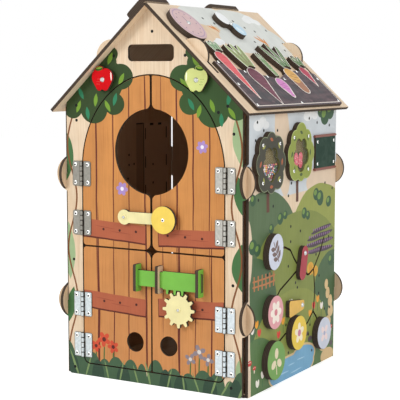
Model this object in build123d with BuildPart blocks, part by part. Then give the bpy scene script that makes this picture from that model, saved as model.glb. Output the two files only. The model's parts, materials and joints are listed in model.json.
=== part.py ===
from build123d import *
import math
import os

os.makedirs("parts", exist_ok=True)

# Driving sizes of the plywood carcass, in millimetres
sheet = 6.0
inner_width = 370.0
inner_depth = 366.0
wall_height = 497.5
eave_overhang = 14.5
roof_pitch = 42.9
roof_overhang = 19.0
foot_round = 6.0

# Clearances
fit_gap = 0.15
corner_gap = 2.0
ridge_gap = 0.4
rest_gap = 0.3
running_gap = 0.05
overrun = 1.0

# Cross-lap ears at the wall corners and gable ears through the roof
ear_chord = 63.0
ear_reach = 23.0
ear_low_rise = 138.0
ear_high_drop = 123.5
gable_ear_chord = 60.0
gable_ear_reach = 18.0
gable_ear_share = 0.4528
roof_slot_tail = 26.0

# Hand slots in both gables
hand_width = 95.0
hand_height = 29.5
hand_drop = 81.2
hand_round = 8.0

# Two-storey double door in the front panel
door_stile = 35.0
door_sill = 22.0
door_spring_drop = 112.5
arch_margin = 22.2
door_mid_share = 0.414
door_kerf = 2.4
upper_split = 4.5
lower_split = 3.0
level_split = 3.0
window_radius = 76.5
window_margin = 60.5
finger_radius = 18.0
finger_place = 35.5
finger_rise = 53.0
sill_round = 12.0
star_round = 13.0
nose_round = 10.0
leaf_round = 3.0
split_round = 6.0

# Butt hinges, two to each leaf, their places as shares of the leaf's straight edge
upper_hinge_shares = (0.936, 0.297)
lower_hinge_shares = (0.506, 0.16)
hinge_height = 46.0
hinge_half = 20.0
hinge_thick = 1.2
hinge_round = 4.0
barrel_radius = 2.6
barrel_lift = 0.2
knuckle_notch = 1.6
pin_radius = 1.3
knuckle_gap = 0.4
knuckle_count = 5
screw_hole_radius = 2.1
screw_inset = 6.5

# Pivot screws with a domed head
pivot_radius = 2.5
pivot_head_radius = 4.5
pivot_head = 2.0
dome_taper = 40.0
spacer_radius = 8.0

# Turning latch on the upper doors
latch_x = -54.0
latch_rise = 58.5
latch_length = 85.5
latch_neck = 20.0
latch_head_radius = 13.5
knob_radius = 24.7
edge_round = 1.0

# Rack bolt and pinion on the lower doors
plate_height = 49.0
plate_reach = 18.0
plate_round = 3.0
bolt_drop = 48.0
bolt_lift = 5.0
keeper_x = -28.0
guide_inner_x = 18.0
guide_outer_x = 100.5
bolt_throw = 6.0
bolt_tail = 2.0
bolt_tip_height = 28.0
bolt_body_height = 32.0
bolt_slack = 0.5
pinion_teeth = 12
tooth_pitch = 15.4
tooth_tall = 3.0
gear_tooth_tip = 4.6
gear_tooth_root = 7.0
tooth_clear = 2.0
web_clear = 1.0
tooth_round = 1.2
rack_tooth_tip = 3.6
rack_tooth_root = 5.6
rack_teeth = 3

# Apple turn buttons
apple_run = 163.9
apple_gap = 5.4
apple_lift = 3.0
apple_cheek_radius = 15.5
apple_cheek_place = 7.0
apple_cheek_rise = 4.5
apple_base_radius = 6.5
apple_base_place = 6.5
apple_base_drop = 13.5
apple_dimple_radius = 5.0
apple_dimple_lift = 2.5
apple_leaf_long = 18.0
apple_leaf_wide = 9.0
apple_leaf_place = 7.0
apple_leaf_sink = 0.5
apple_leaf_turn = -8.0

# Tree windows on the right wall
tree_thick = 9.0
dark_tree_inset = 67.0
dark_tree_drop = 94.5
dark_lobe_shares = (0.85, 1.05, 0.95, 1.0, 0.9, 1.0, 1.0, 1.1)
dark_lobe_radius = 22.0
dark_lobe_place = 35.0
tree_gap = 7.5
light_tree_drop = 84.5
light_lobe_shares = (0.8, 1.05, 1.0, 0.9, 1.05, 0.9, 1.0, 1.1)
light_lobe_radius = 23.0
light_lobe_place = 32.5
pane_lobe_shares = (1.1, 1.05, 0.85, 0.9, 1.05)
pane_lobe_radius = 14.5
pane_lobe_place = 18.0
pane_sheet = 1.5
pane_lip = 2.5
pane_rebate = 3.0
bead_radius = 2.4
bead_play = 1.7
bead_gap = 0.3
bead_rows = (3, 4, 5, 4)
charm_lobe_radius = 8.5
charm_lobe_across = 9.5
charm_lobe_rise = 6.0
charm_drop = 13.0
charm_play = 2.0

# Chalkboard on the right wall
board_gap = 18.0
board_margin = 11.5
board_tall = 57.5
board_thick = 4.0
board_drop = 88.5
board_round = 2.0

# Sliding discs and the winding slots that they run in
peg_radius = 1.7
peg_play = 0.3
path_round = 14.0
peg_head_radius = 8.0
peg_head = 3.0
disc_thick = 12.0
slider_names = ("oval", "pink", "yellow", "white", "green")
oval_long_radius = 33.0
oval_short_radius = 27.0
pink_radius = 30.0
yellow_radius = 32.0
white_radius = 31.0
green_radius = 35.0
oval_turn = 62.0

# Swinging covers on the right wall
cover_thick = 8.0
pill_wide = 27.0
pill_long = 37.0
pill_lean = 14.0
pill_share = 0.154
pill_rise_share = 0.456
flap_share = 0.097
flap_gap = 0.5
flap_long = 54.0
flap_tail = 8.0
flap_wide_end = 32.0
flap_narrow_end = 17.0
flap_round = 5.0

# Garden on the right roof slope, its places as shares of the slope from the ridge line down
soil_sheet = 6.0
soil_margin = 5.0
soil_foot_margin = 5.0
soil_front_share = 0.567
soil_rise_share = 0.67
soil_mid_share = 0.724
soil_dip_share = 0.656
soil_back_share = 0.684
soil_crest_share = 0.084
soil_round = 5.0
pocket_gap = 0.6
leaf_layer = 4.0
root_radius = 20.0
leaf_width = 20.0
root_names = ("carrot", "beet", "onion", "turnip", "radish")
root_across_shares = (-0.77, -0.41, -0.011, 0.404, 0.798)
root_crown_shares = (0.542, 0.713, 0.788, 0.702, 0.67)
root_tip_shares = (0.898, 0.963, 0.881, 0.816, 0.806)
leaf_tip_shares = (0.392, 0.4135, 0.4955, 0.396, 0.513)
root_girth_shares = (0.95, 1.25, 0.95, 1.1, 0.8)
root_end_shares = (0.12, 0.08, 0.4, 0.85, 0.1)
leaf_width_shares = (0.8, 1.0, 0.5, 0.85, 0.7)
leaf_fans = (21.0, 16.0, 6.0, 24.0, 24.0)

# Turning dial and turning cloud near the ridge
dial_radius = 40.5
dial_thick = 10.0
dial_edge = 4.5
dial_gap = 3.3
dial_reach_share = 0.672
cloud_y = 10.0
cloud_share = 0.214
cloud_lobe_radius = 17.0
cloud_step = 20.0
cloud_neck = 13.0
cloud_lean = 41.7

# Plaques on the left roof slope
plaque_top = 1.0
plaque_thick = 9.0
plaque_run = 46.0
plaque_round = 10.0
plaque_front_long = 90.0
plaque_back_long = 118.0
plaque_back_y = 84.0

# Worked-out places
sides = (-1, 1)
lean = math.radians(roof_pitch)
rise_per_run = math.tan(lean)
half_inner_width = inner_width / 2
half_outer_width = half_inner_width + sheet
half_inner_depth = inner_depth / 2
half_depth = half_inner_depth + sheet
panel_half = half_inner_width - corner_gap
wall_half = half_inner_depth - corner_gap
soffit_ridge = wall_height + fit_gap + half_outer_width * rise_per_run
ridge_height = soffit_ridge + sheet / math.cos(lean)
slope_length = (half_outer_width + eave_overhang) / math.cos(lean)
slope_top = sheet * rise_per_run + ridge_gap / 2
roof_half = half_depth + roof_overhang
ear_radius = ((ear_chord / 2) ** 2 + ear_reach ** 2) / (2 * ear_reach)
ear_inset = ear_radius - ear_reach
ear_heights = (ear_low_rise, wall_height - ear_high_drop)
gable_ear_place = gable_ear_share * slope_length
gable_rise = gable_ear_reach + sheet
gable_ear_radius = ((gable_ear_chord / 2) ** 2 + gable_rise ** 2) / (2 * gable_rise)
gable_ear_drop = sheet + gable_ear_radius - gable_rise
hand_place = soffit_ridge - hand_drop
door_half = half_inner_width - door_stile
door_spring = wall_height - door_spring_drop
door_top = hand_place - hand_height / 2 - arch_margin
door_rise = door_top - door_spring
door_mid = door_sill + door_mid_share * (door_top - door_sill)
window_height = door_top - window_margin - window_radius
finger_height = door_sill + finger_rise
upper_hinge_heights = [door_mid + share * (door_spring - door_mid) for share in upper_hinge_shares]
lower_hinge_heights = [door_sill + share * (door_mid - door_sill) for share in lower_hinge_shares]
hinge_heights = upper_hinge_heights + lower_hinge_heights
hinge_axis = half_depth + barrel_radius + barrel_lift
knuckle_pitch = hinge_height / knuckle_count
latch_height = door_mid + latch_rise
bolt_height = door_mid - bolt_drop
pitch_radius = pinion_teeth * tooth_pitch / (2 * math.pi)
slot_width = 2 * (peg_radius + peg_play)

# Sketch planes: front face, right wall's outer face, and each roof slope with x running down it
front_face = Plane.XZ.offset(half_depth)
right_face = Plane.YZ.offset(half_outer_width)
right_slope = Plane(
    (0, 0, ridge_height),
    x_dir=(math.cos(lean), 0, -math.sin(lean)),
    z_dir=(math.sin(lean), 0, math.cos(lean)),
)
left_slope = Plane(
    (0, 0, ridge_height),
    x_dir=(-math.cos(lean), 0, -math.sin(lean)),
    z_dir=(-math.sin(lean), 0, math.cos(lean)),
)


def save(piece, name):
    piece.part.label = name
    export_step(piece.part, f"parts/{name}.step")


def round_corner(sketch, x, y, radius):
    # Rounds the sketch corner that lies nearest to a point
    fillet(sketch.vertices().sort_by_distance((x, y, 0))[0], radius)


def slope_point(side, run, depth):
    # Point of a gable, run down the slope from the ridge line and depth under the roof's top face
    x = run * math.cos(lean) - depth * math.sin(lean)
    z = ridge_height - run * math.sin(lean) - depth * math.cos(lean)
    return (side * x, z)


def corner_ears(edge):
    spots = [(side * (edge - ear_inset), height) for side in sides for height in ear_heights]
    with Locations(*spots):
        Circle(ear_radius)


def ear_slits(edge, half):
    # Slits where the ears of two sheets cross, in the ear's upper half for 1 and its lower half for -1
    slit_width = corner_gap + sheet + fit_gap
    slit_height = ear_chord / 2 + overrun
    for side in sides:
        for height in ear_heights:
            with Locations((side * (edge + slit_width / 2), height + half * slit_height / 2)):
                Rectangle(slit_width, slit_height, mode=Mode.SUBTRACT)


def gable_outline(sketch):
    # House-shaped sheet with its corner ears, roof ears, ear slits and hand slot
    shoulder = soffit_ridge - panel_half * rise_per_run
    Polygon(
        (-panel_half, 0),
        (panel_half, 0),
        (panel_half, shoulder),
        (0, soffit_ridge),
        (-panel_half, shoulder),
        align=None,
    )
    for side in sides:
        round_corner(sketch, side * panel_half, 0, foot_round)
    corner_ears(panel_half)
    with Locations(*[slope_point(side, gable_ear_place, gable_ear_drop) for side in sides]):
        Circle(gable_ear_radius)
    ear_slits(panel_half, 1)
    with Locations((0, hand_place)):
        RectangleRounded(hand_width, hand_height, hand_round, mode=Mode.SUBTRACT)


def door_arch(inset, mode=Mode.ADD):
    # Arched outline of the doorway, set in by a kerf
    height = door_spring - door_sill - inset
    with Locations((0, door_spring - height / 2)):
        Rectangle(2 * (door_half - inset), height, mode=mode)
    with Locations((0, door_spring)):
        Ellipse(door_half - inset, door_rise - inset, mode=mode)


# Front panel with the arched doorway
with BuildPart() as front_panel:
    with BuildSketch(front_face) as front_outline:
        gable_outline(front_outline)
        door_arch(0, Mode.SUBTRACT)
        for side in sides:
            round_corner(front_outline, side * door_half, door_sill, sill_round + door_kerf)
    extrude(amount=-sheet)
save(front_panel, "front_panel")

# Back panel
with BuildPart() as back_panel:
    with BuildSketch(Plane.XZ.offset(-half_depth)) as back_outline:
        gable_outline(back_outline)
    extrude(amount=sheet)
save(back_panel, "back_panel")


# Base sheet between the panels and the walls
with BuildPart() as base_panel:
    with BuildSketch():
        Rectangle(2 * (half_inner_width - fit_gap), 2 * (half_inner_depth - fit_gap))
    extrude(amount=sheet)
save(base_panel, "base_panel")


def wall_outline():
    # Side wall sheet with its corner ears and ear slits
    with Locations((0, wall_height / 2)):
        Rectangle(2 * wall_half, wall_height)
    corner_ears(wall_half)
    ear_slits(wall_half, -1)


# Left side wall
with BuildPart() as left_wall:
    with BuildSketch(Plane.YZ.offset(-half_outer_width)):
        wall_outline()
    extrude(amount=sheet)
save(left_wall, "left_wall")

# Winding slots, as shares of the wall's half length and height, from each disc to where the paths meet
oval_path_shares = ((-0.552, 0.494), (-0.231, 0.494), (-0.1, 0.478), (0.0, 0.438), (0.12, 0.402))
pink_path_shares = ((-0.55, 0.277), (-0.33, 0.342), (-0.137, 0.367), (0.12, 0.402))
yellow_path_shares = ((-0.014, 0.166), (0.313, 0.177), (0.46, 0.215), (0.5, 0.287), (0.462, 0.38))
white_path_shares = ((0.607, 0.122), (0.55, 0.185), (0.46, 0.215))
green_path_shares = ((-0.53, 0.101), (-0.319, 0.157), (-0.165, 0.177), (-0.014, 0.166))
crossing_path_shares = ((0.718, 0.49), (0.604, 0.43), (0.462, 0.38), (0.33, 0.362), (0.12, 0.402))
slider_path_shares = (
    oval_path_shares,
    pink_path_shares,
    yellow_path_shares,
    white_path_shares,
    green_path_shares,
)


def path_points(shares):
    return [Vector(across * wall_half, up * wall_height) for across, up in shares]


def cut_path(shares):
    # Slot along straight runs with rounded bends, its ends round
    points = path_points(shares)
    with BuildLine() as route:
        FilletPolyline(*points, radius=path_round)
    trace(route.line, slot_width, mode=Mode.SUBTRACT)
    with Locations(points[0], points[-1]):
        Circle(slot_width / 2, mode=Mode.SUBTRACT)


# Right side wall with the winding slots
with BuildPart() as right_wall:
    with BuildSketch(right_face):
        wall_outline()
        for path in slider_path_shares:
            cut_path(path)
        cut_path(crossing_path_shares)
    extrude(amount=-sheet)
save(right_wall, "right_wall")


def roof_outline():
    # Square-cut roof sheet with a slot at each gable ear
    length = slope_length - slope_top
    with Locations((slope_top + length / 2, 0)):
        Rectangle(length, 2 * roof_half)
    slot_start = gable_ear_place - gable_ear_chord / 2 - fit_gap
    slot_end = gable_ear_place + gable_ear_chord / 2 + roof_slot_tail
    for side in sides:
        with Locations(((slot_start + slot_end) / 2, side * (half_depth - sheet / 2))):
            Rectangle(slot_end - slot_start, sheet + 2 * fit_gap, mode=Mode.SUBTRACT)


# Roof slopes
with BuildPart() as left_roof:
    with BuildSketch(left_slope):
        roof_outline()
    extrude(amount=-sheet)
save(left_roof, "left_roof")

with BuildPart() as right_roof:
    with BuildSketch(right_slope):
        roof_outline()
    extrude(amount=-sheet)
save(right_roof, "right_roof")

# Plaques on the left slope, where y of the sketch runs towards the front
with BuildPart() as left_roof_plaques:
    with BuildSketch(left_slope):
        with Locations((plaque_top + plaque_run / 2, roof_half - plaque_front_long / 2)):
            RectangleRounded(plaque_run, plaque_front_long, plaque_round)
        with Locations((plaque_top + plaque_run / 2, -plaque_back_y)):
            RectangleRounded(plaque_run, plaque_back_long, plaque_round)
    extrude(amount=plaque_thick)
save(left_roof_plaques, "left_roof_plaques")

# Door leaves, cut out of the front panel's sheet
for side, hand in zip(sides, ("left", "right")):
    with BuildPart() as upper_door:
        with BuildSketch(front_face) as upper_outline:
            leaf_inner = side * upper_split / 2
            leaf_outer = side * (door_half - door_kerf)
            leaf_foot = door_mid + level_split / 2
            leaf_top = door_top - door_kerf
            door_arch(door_kerf)
            with Locations(((leaf_inner + leaf_outer) / 2, (leaf_foot + leaf_top) / 2)):
                Rectangle(abs(leaf_outer - leaf_inner), leaf_top - leaf_foot, mode=Mode.INTERSECT)
            with Locations((0, window_height)):
                Circle(window_radius, mode=Mode.SUBTRACT)
            round_corner(upper_outline, leaf_inner, leaf_top, leaf_round)
            round_corner(upper_outline, leaf_inner, window_height + window_radius, nose_round)
            round_corner(upper_outline, leaf_inner, window_height - window_radius, nose_round)
            round_corner(upper_outline, leaf_inner, leaf_foot, star_round)
            round_corner(upper_outline, leaf_outer, leaf_foot, split_round)
        extrude(amount=-sheet)
    save(upper_door, f"door_upper_{hand}")

    with BuildPart() as lower_door:
        with BuildSketch(front_face) as lower_outline:
            leaf_inner = side * lower_split / 2
            leaf_foot = door_sill + door_kerf
            leaf_top = door_mid - level_split / 2
            with Locations(((leaf_inner + leaf_outer) / 2, (leaf_foot + leaf_top) / 2)):
                Rectangle(abs(leaf_outer - leaf_inner), leaf_top - leaf_foot)
            with Locations((side * finger_place, finger_height)):
                Circle(finger_radius, mode=Mode.SUBTRACT)
            round_corner(lower_outline, leaf_inner, leaf_top, star_round)
            round_corner(lower_outline, leaf_outer, leaf_top, split_round)
            round_corner(lower_outline, leaf_outer, leaf_foot, sill_round)
            round_corner(lower_outline, leaf_inner, leaf_foot, leaf_round)
        extrude(amount=-sheet)
    save(lower_door, f"door_lower_{hand}")


def hinge_leaf(side, outward, height, knuckles):
    # One hinge leaf: a plate on the sheet's face with its own knuckles of the barrel
    axis_x = side * door_half
    plate_start = barrel_radius + barrel_lift + knuckle_notch
    plate_width = hinge_half - plate_start
    knuckle_tall = knuckle_pitch - knuckle_gap
    middles = [height + (number - (knuckle_count - 1) / 2) * knuckle_pitch for number in knuckles]
    with BuildSketch(front_face) as plate:
        with Locations((axis_x + outward * (plate_start + plate_width / 2), height)):
            Rectangle(plate_width, hinge_height)
        for end in sides:
            corner_z = height + end * hinge_height / 2
            round_corner(plate, axis_x + outward * hinge_half, corner_z, hinge_round)
        for middle in middles:
            with Locations((axis_x + outward * plate_start / 2, middle)):
                Rectangle(plate_start, knuckle_tall)
        for end in sides:
            hole_z = height + end * (hinge_height / 2 - screw_inset)
            with Locations((axis_x + outward * (hinge_half - screw_inset), hole_z)):
                Circle(screw_hole_radius, mode=Mode.SUBTRACT)
    extrude(plate.sketch, amount=hinge_thick)
    for middle in middles:
        with Locations((axis_x, -hinge_axis, middle)):
            Cylinder(barrel_radius, knuckle_tall)
    with Locations((axis_x, -hinge_axis, height)):
        Cylinder(pin_radius + running_gap, hinge_height + overrun, mode=Mode.SUBTRACT)


frame_knuckles = range(0, knuckle_count, 2)
door_knuckles = range(1, knuckle_count, 2)

# Hinge leaves on the front panel and the hinge pins
with BuildPart() as frame_hinge_leaves:
    for side in sides:
        for height in hinge_heights:
            hinge_leaf(side, side, height, frame_knuckles)
save(frame_hinge_leaves, "frame_hinge_leaves")

with BuildPart() as hinge_pins:
    with Locations(*[(side * door_half, -hinge_axis, height) for side in sides for height in hinge_heights]):
        Cylinder(pin_radius, hinge_height + overrun)
save(hinge_pins, "hinge_pins")

# Hinge leaves on the doors
for side, hand in zip(sides, ("left", "right")):
    for level, heights in (("upper", upper_hinge_heights), ("lower", lower_hinge_heights)):
        with BuildPart() as door_hinge_leaves:
            for height in heights:
                hinge_leaf(side, -side, height, door_knuckles)
        save(door_hinge_leaves, f"door_{level}_{hand}_hinge_leaves")


def disc_face(plane, place, radius):
    with BuildSketch(plane) as face:
        with Locations(place):
            Circle(radius)
    return face.sketch


def pivot_screw(plane, place, reach, foot=0):
    # Pivot standing on a sheet's face: plain shank, domed head and, under a lifted piece, a spacer foot
    extrude(disc_face(plane, place, pivot_radius), amount=reach + rest_gap)
    head = disc_face(plane.offset(reach + rest_gap), place, pivot_head_radius)
    extrude(head, amount=pivot_head, taper=dome_taper)
    if foot > 0:
        extrude(disc_face(plane, place, spacer_radius), amount=foot)


# Latch bar that turns across both upper doors, its knob and its pivot
latch_plane = front_face.offset(rest_gap)
knob_x = latch_x + latch_length

with BuildPart() as latch_bar:
    with BuildSketch(latch_plane):
        with Locations(((latch_x + knob_x) / 2, latch_height)):
            Rectangle(latch_length, latch_neck)
        with Locations((latch_x, latch_height)):
            Circle(latch_head_radius)
        with Locations((knob_x, latch_height)):
            Circle(latch_neck / 2)
        with Locations((latch_x, latch_height)):
            Circle(pivot_radius + running_gap, mode=Mode.SUBTRACT)
    extrude(amount=sheet)
save(latch_bar, "latch_bar")

with BuildPart() as latch_knob:
    with BuildSketch(latch_plane.offset(sheet)):
        with Locations((knob_x, latch_height)):
            Circle(knob_radius)
    extrude(amount=sheet)
    fillet(latch_knob.faces().sort_by(Axis.Y)[0].edges(), edge_round)
save(latch_knob, "latch_knob")

with BuildPart() as latch_pivot:
    pivot_screw(front_face, (latch_x, latch_height), rest_gap + sheet)
save(latch_pivot, "latch_pivot")

# Bolt of the lower doors: three standing plates, the rack bolt that slides through them and its pinion
bolt_plane = front_face.offset(bolt_lift)

for name, plate_x, slot_height in (
    ("bolt_keeper", keeper_x, bolt_tip_height + 2 * bolt_slack),
    ("bolt_guide_inner", guide_inner_x, bolt_tip_height),
    ("bolt_guide_outer", guide_outer_x, bolt_body_height),
):
    with BuildPart() as plate:
        with BuildSketch(Plane.YZ.offset(plate_x)) as plate_outline:
            with Locations((-half_depth - plate_reach / 2, bolt_height)):
                Rectangle(plate_reach, plate_height)
            for end in sides:
                corner_z = bolt_height + end * plate_height / 2
                round_corner(plate_outline, -half_depth - plate_reach, corner_z, plate_round)
            with Locations((-half_depth - bolt_lift - sheet / 2, bolt_height)):
                Rectangle(sheet + 2 * bolt_slack, slot_height + 2 * bolt_slack, mode=Mode.SUBTRACT)
        extrude(amount=sheet)
    save(plate, name)

bolt_tip_x = keeper_x + sheet + rest_gap
shoulder_x = guide_inner_x + sheet + bolt_throw + rest_gap
bolt_end_x = guide_outer_x + sheet + bolt_tail
rack_line = bolt_height - bolt_body_height / 2
rack_tooth_tall = 2 * tooth_tall + tooth_clear
pinion_x = (guide_inner_x + sheet + guide_outer_x) / 2
pinion_height = rack_line - rack_tooth_tall + tooth_tall - pitch_radius

with BuildPart() as bolt:
    with BuildSketch(bolt_plane):
        with Locations(((bolt_tip_x + shoulder_x) / 2, bolt_height)):
            Rectangle(shoulder_x - bolt_tip_x, bolt_tip_height)
        with Locations(((shoulder_x + bolt_end_x) / 2, bolt_height)):
            Rectangle(bolt_end_x - shoulder_x, bolt_body_height)
        rack_start = pinion_x + tooth_pitch / 2
        with Locations(*[(rack_start - number * tooth_pitch, rack_line) for number in range(rack_teeth)]):
            Polygon(
                (-rack_tooth_root / 2, 0),
                (-rack_tooth_tip / 2, -rack_tooth_tall),
                (rack_tooth_tip / 2, -rack_tooth_tall),
                (rack_tooth_root / 2, 0),
                align=None,
            )
    extrude(amount=sheet)
save(bolt, "bolt")

with BuildPart() as pinion:
    with BuildSketch(bolt_plane) as pinion_outline:
        web_radius = pitch_radius - tooth_tall - web_clear
        tip_radius = pitch_radius + tooth_tall
        with Locations((pinion_x, pinion_height)):
            Circle(web_radius)
            with PolarLocations(0, pinion_teeth, start_angle=90):
                Polygon(
                    (0, -gear_tooth_root / 2),
                    (web_radius, -gear_tooth_root / 2),
                    (tip_radius, -gear_tooth_tip / 2),
                    (tip_radius, gear_tooth_tip / 2),
                    (web_radius, gear_tooth_root / 2),
                    (0, gear_tooth_root / 2),
                    align=None,
                )
        corners = pinion_outline.vertices()
        middle = Vector(pinion_x, pinion_height)
        fillet([corner for corner in corners if (Vector(corner) - middle).length > pitch_radius], tooth_round)
        with Locations(middle):
            Circle(pivot_radius + running_gap, mode=Mode.SUBTRACT)
    extrude(amount=sheet)
save(pinion, "pinion")

with BuildPart() as pinion_axle:
    pivot_screw(front_face, (pinion_x, pinion_height), bolt_lift + sheet, bolt_lift - rest_gap)
save(pinion_axle, "pinion_axle")

# Apple turn buttons beside the hand slot, each with a leaf on its outer side
apple_depth = sheet + apple_cheek_place + apple_cheek_radius + apple_gap
apple_x, apple_height = slope_point(1, apple_run, apple_depth)
apple_brow = apple_cheek_rise + apple_cheek_radius
apple_foot = apple_base_drop + apple_base_radius

for side, name in zip(sides, ("red_apple", "green_apple")):
    with BuildPart() as apple:
        with BuildSketch(front_face.offset(apple_lift)):
            with Locations((side * apple_x, apple_height)):
                with Locations((-apple_cheek_place, apple_cheek_rise), (apple_cheek_place, apple_cheek_rise)):
                    Circle(apple_cheek_radius)
                with Locations((-apple_base_place, -apple_base_drop), (apple_base_place, -apple_base_drop)):
                    Circle(apple_base_radius)
            make_hull()
            with Locations((side * apple_x, apple_height)):
                with Locations((0, apple_brow + apple_dimple_lift), (0, -apple_foot - apple_dimple_lift)):
                    Circle(apple_dimple_radius, mode=Mode.SUBTRACT)
                with Locations((side * apple_leaf_place, apple_brow - apple_leaf_sink)):
                    Ellipse(apple_leaf_long / 2, apple_leaf_wide / 2, rotation=side * apple_leaf_turn)
                Circle(pivot_radius + running_gap, mode=Mode.SUBTRACT)
        extrude(amount=sheet)
    save(apple, name)

with BuildPart() as apple_pivots:
    for side in sides:
        pivot_screw(front_face, (side * apple_x, apple_height), apple_lift + sheet, apple_lift - rest_gap)
save(apple_pivots, "apple_pivots")


def lobed(place, shares, lobe_radius, lobe_place, grow=0, mode=Mode.ADD):
    # Ring of round lobes round a filled middle, the first one at the foot, each with its share of the radius
    with Locations(place):
        Circle(lobe_place, mode=mode)
        for number, share in enumerate(shares):
            with PolarLocations(lobe_place, 1, start_angle=number * 360 / len(shares) - 90):
                Circle(share * lobe_radius + grow, mode=mode)


# Tree windows: a scalloped frame with a rebate behind it for a clear pane
dark_reach = dark_lobe_place + dark_lobe_radius
light_reach = light_lobe_place + light_lobe_radius
dark_tree_y = dark_tree_inset - wall_half
light_tree_y = dark_tree_y + dark_reach + tree_gap + light_reach
dark_tree_height = wall_height - dark_tree_drop
light_tree_height = wall_height - light_tree_drop
dark_tree = (dark_tree_y, dark_tree_height)
light_tree = (light_tree_y, light_tree_height)
pane_depth = tree_thick - pane_lip - pane_sheet

for name, place, shares, lobe_radius, lobe_place in (
    ("dark", dark_tree, dark_lobe_shares, dark_lobe_radius, dark_lobe_place),
    ("light", light_tree, light_lobe_shares, light_lobe_radius, light_lobe_place),
):
    window = (place, pane_lobe_shares, pane_lobe_radius, pane_lobe_place)
    with BuildPart() as tree_frame:
        with BuildSketch(right_face):
            lobed(place, shares, lobe_radius, lobe_place)
            lobed(*window, mode=Mode.SUBTRACT)
        extrude(amount=tree_thick)
        with BuildSketch(right_face):
            lobed(*window, grow=pane_rebate)
        extrude(amount=tree_thick - pane_lip, mode=Mode.SUBTRACT)
    save(tree_frame, f"tree_frame_{name}")

    with BuildPart() as tree_pane:
        with BuildSketch(right_face.offset(pane_depth)):
            lobed(*window, grow=pane_rebate - fit_gap)
        extrude(amount=pane_sheet)
    save(tree_pane, f"tree_pane_{name}")

# Loose beads heaped in the lowest lobe behind the dark tree's pane
with BuildPart() as tree_beads:
    bead_step = 2 * bead_radius + bead_gap
    row_step_share = math.sqrt(3) / 2
    lobe_middle = dark_tree_height - pane_lobe_place
    lobe_reach = pane_lobe_shares[0] * pane_lobe_radius + pane_rebate - bead_radius - bead_gap
    with BuildSketch(right_face.offset(bead_gap)):
        for row, count in enumerate(bead_rows):
            row_half = (count - 1) * bead_step / 2
            first_half = (bead_rows[0] - 1) * bead_step / 2
            first_z = lobe_middle - math.sqrt(lobe_reach ** 2 - first_half ** 2)
            row_z = first_z + row * bead_step * row_step_share
            with Locations(*[(dark_tree_y - row_half + spot * bead_step, row_z) for spot in range(count)]):
                Circle(bead_radius)
    extrude(amount=pane_depth - bead_gap - bead_play)
save(tree_beads, "tree_beads")

# Four-lobed charm fixed on the wall behind the light tree's pane
with BuildPart() as tree_charm:
    with BuildSketch(right_face):
        with Locations((light_tree_y, light_tree_height - charm_drop)):
            Rectangle(2 * charm_lobe_across, 2 * charm_lobe_rise)
            with GridLocations(2 * charm_lobe_across, 2 * charm_lobe_rise, 2, 2):
                Circle(charm_lobe_radius)
    extrude(amount=pane_depth - charm_play)
save(tree_charm, "tree_charm")

# Chalkboard, from beside the light tree to the wall's back margin
board_start = light_tree_y + light_reach + board_gap
board_end = wall_half - board_margin

with BuildPart() as chalkboard:
    with BuildSketch(right_face):
        with Locations(((board_start + board_end) / 2, wall_height - board_drop)):
            RectangleRounded(board_end - board_start, board_tall, board_round)
    extrude(amount=board_thick)
save(chalkboard, "chalkboard")

# Sliding discs, each with a headed peg through its slot
disc_plane = right_face.offset(rest_gap)
peg_reach = rest_gap + sheet + rest_gap

slider_radii = (oval_long_radius, pink_radius, yellow_radius, white_radius, green_radius)
slider_short_radii = (oval_short_radius, pink_radius, yellow_radius, white_radius, green_radius)

for name, path, long_radius, short_radius in zip(
    slider_names, slider_path_shares, slider_radii, slider_short_radii
):
    home = path_points(path)[0]
    with BuildPart() as slider:
        with BuildSketch(disc_plane):
            with Locations(home):
                Ellipse(long_radius, short_radius, rotation=oval_turn)
        extrude(amount=disc_thick)
        fillet(slider.faces().sort_by(Axis.X)[-1].edges(), edge_round)
    save(slider, f"{name}_slider")

    with BuildPart() as slider_peg:
        extrude(disc_face(disc_plane, home, peg_radius), amount=-peg_reach)
        extrude(disc_face(disc_plane.offset(-peg_reach), home, peg_head_radius), amount=-peg_head)
    save(slider_peg, f"{name}_slider_peg")

# Swinging covers over the slots and their pivots
pill_y = pill_share * wall_half
pill_height = pill_rise_share * wall_height
yellow_home = path_points(yellow_path_shares)[0]
flap_y = flap_share * wall_half
flap_height = yellow_home.Y + yellow_radius + flap_wide_end / 2 + flap_gap

with BuildPart() as red_cover:
    with BuildSketch(disc_plane):
        drop = math.radians(pill_lean)
        middle_y = pill_y - math.sin(drop) * pill_long / 2
        middle_z = pill_height - math.cos(drop) * pill_long / 2
        with Locations((middle_y, middle_z)):
            SlotCenterToCenter(pill_long, pill_wide, rotation=90 - pill_lean)
        with Locations((pill_y, pill_height)):
            Circle(pivot_radius + running_gap, mode=Mode.SUBTRACT)
    extrude(amount=cover_thick)
save(red_cover, "red_cover")

with BuildPart() as yellow_cover:
    with BuildSketch(disc_plane) as flap_outline:
        with Locations((flap_y, flap_height)):
            Polygon(
                (-flap_long, -flap_wide_end / 2),
                (flap_tail, -flap_narrow_end / 2),
                (flap_tail, flap_narrow_end / 2),
                (-flap_long, flap_wide_end / 2),
                align=None,
            )
        fillet(flap_outline.vertices(), flap_round)
        with Locations((flap_y, flap_height)):
            Circle(pivot_radius + running_gap, mode=Mode.SUBTRACT)
    extrude(amount=cover_thick)
save(yellow_cover, "yellow_cover")

with BuildPart() as cover_pivots:
    pivot_screw(right_face, (pill_y, pill_height), rest_gap + cover_thick)
    pivot_screw(right_face, (flap_y, flap_height), rest_gap + cover_thick)
save(cover_pivots, "cover_pivots")


def root_shape(top, y, radius, length, tip_radius, gap=0):
    # Tapered root, its crown at top and its tip further down the slope
    with BuildSketch() as shape:
        with Locations((top, y)):
            Circle(radius + gap)
        with Locations((top + length, y)):
            Circle(tip_radius + gap)
        make_hull()
    return shape.sketch


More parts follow.
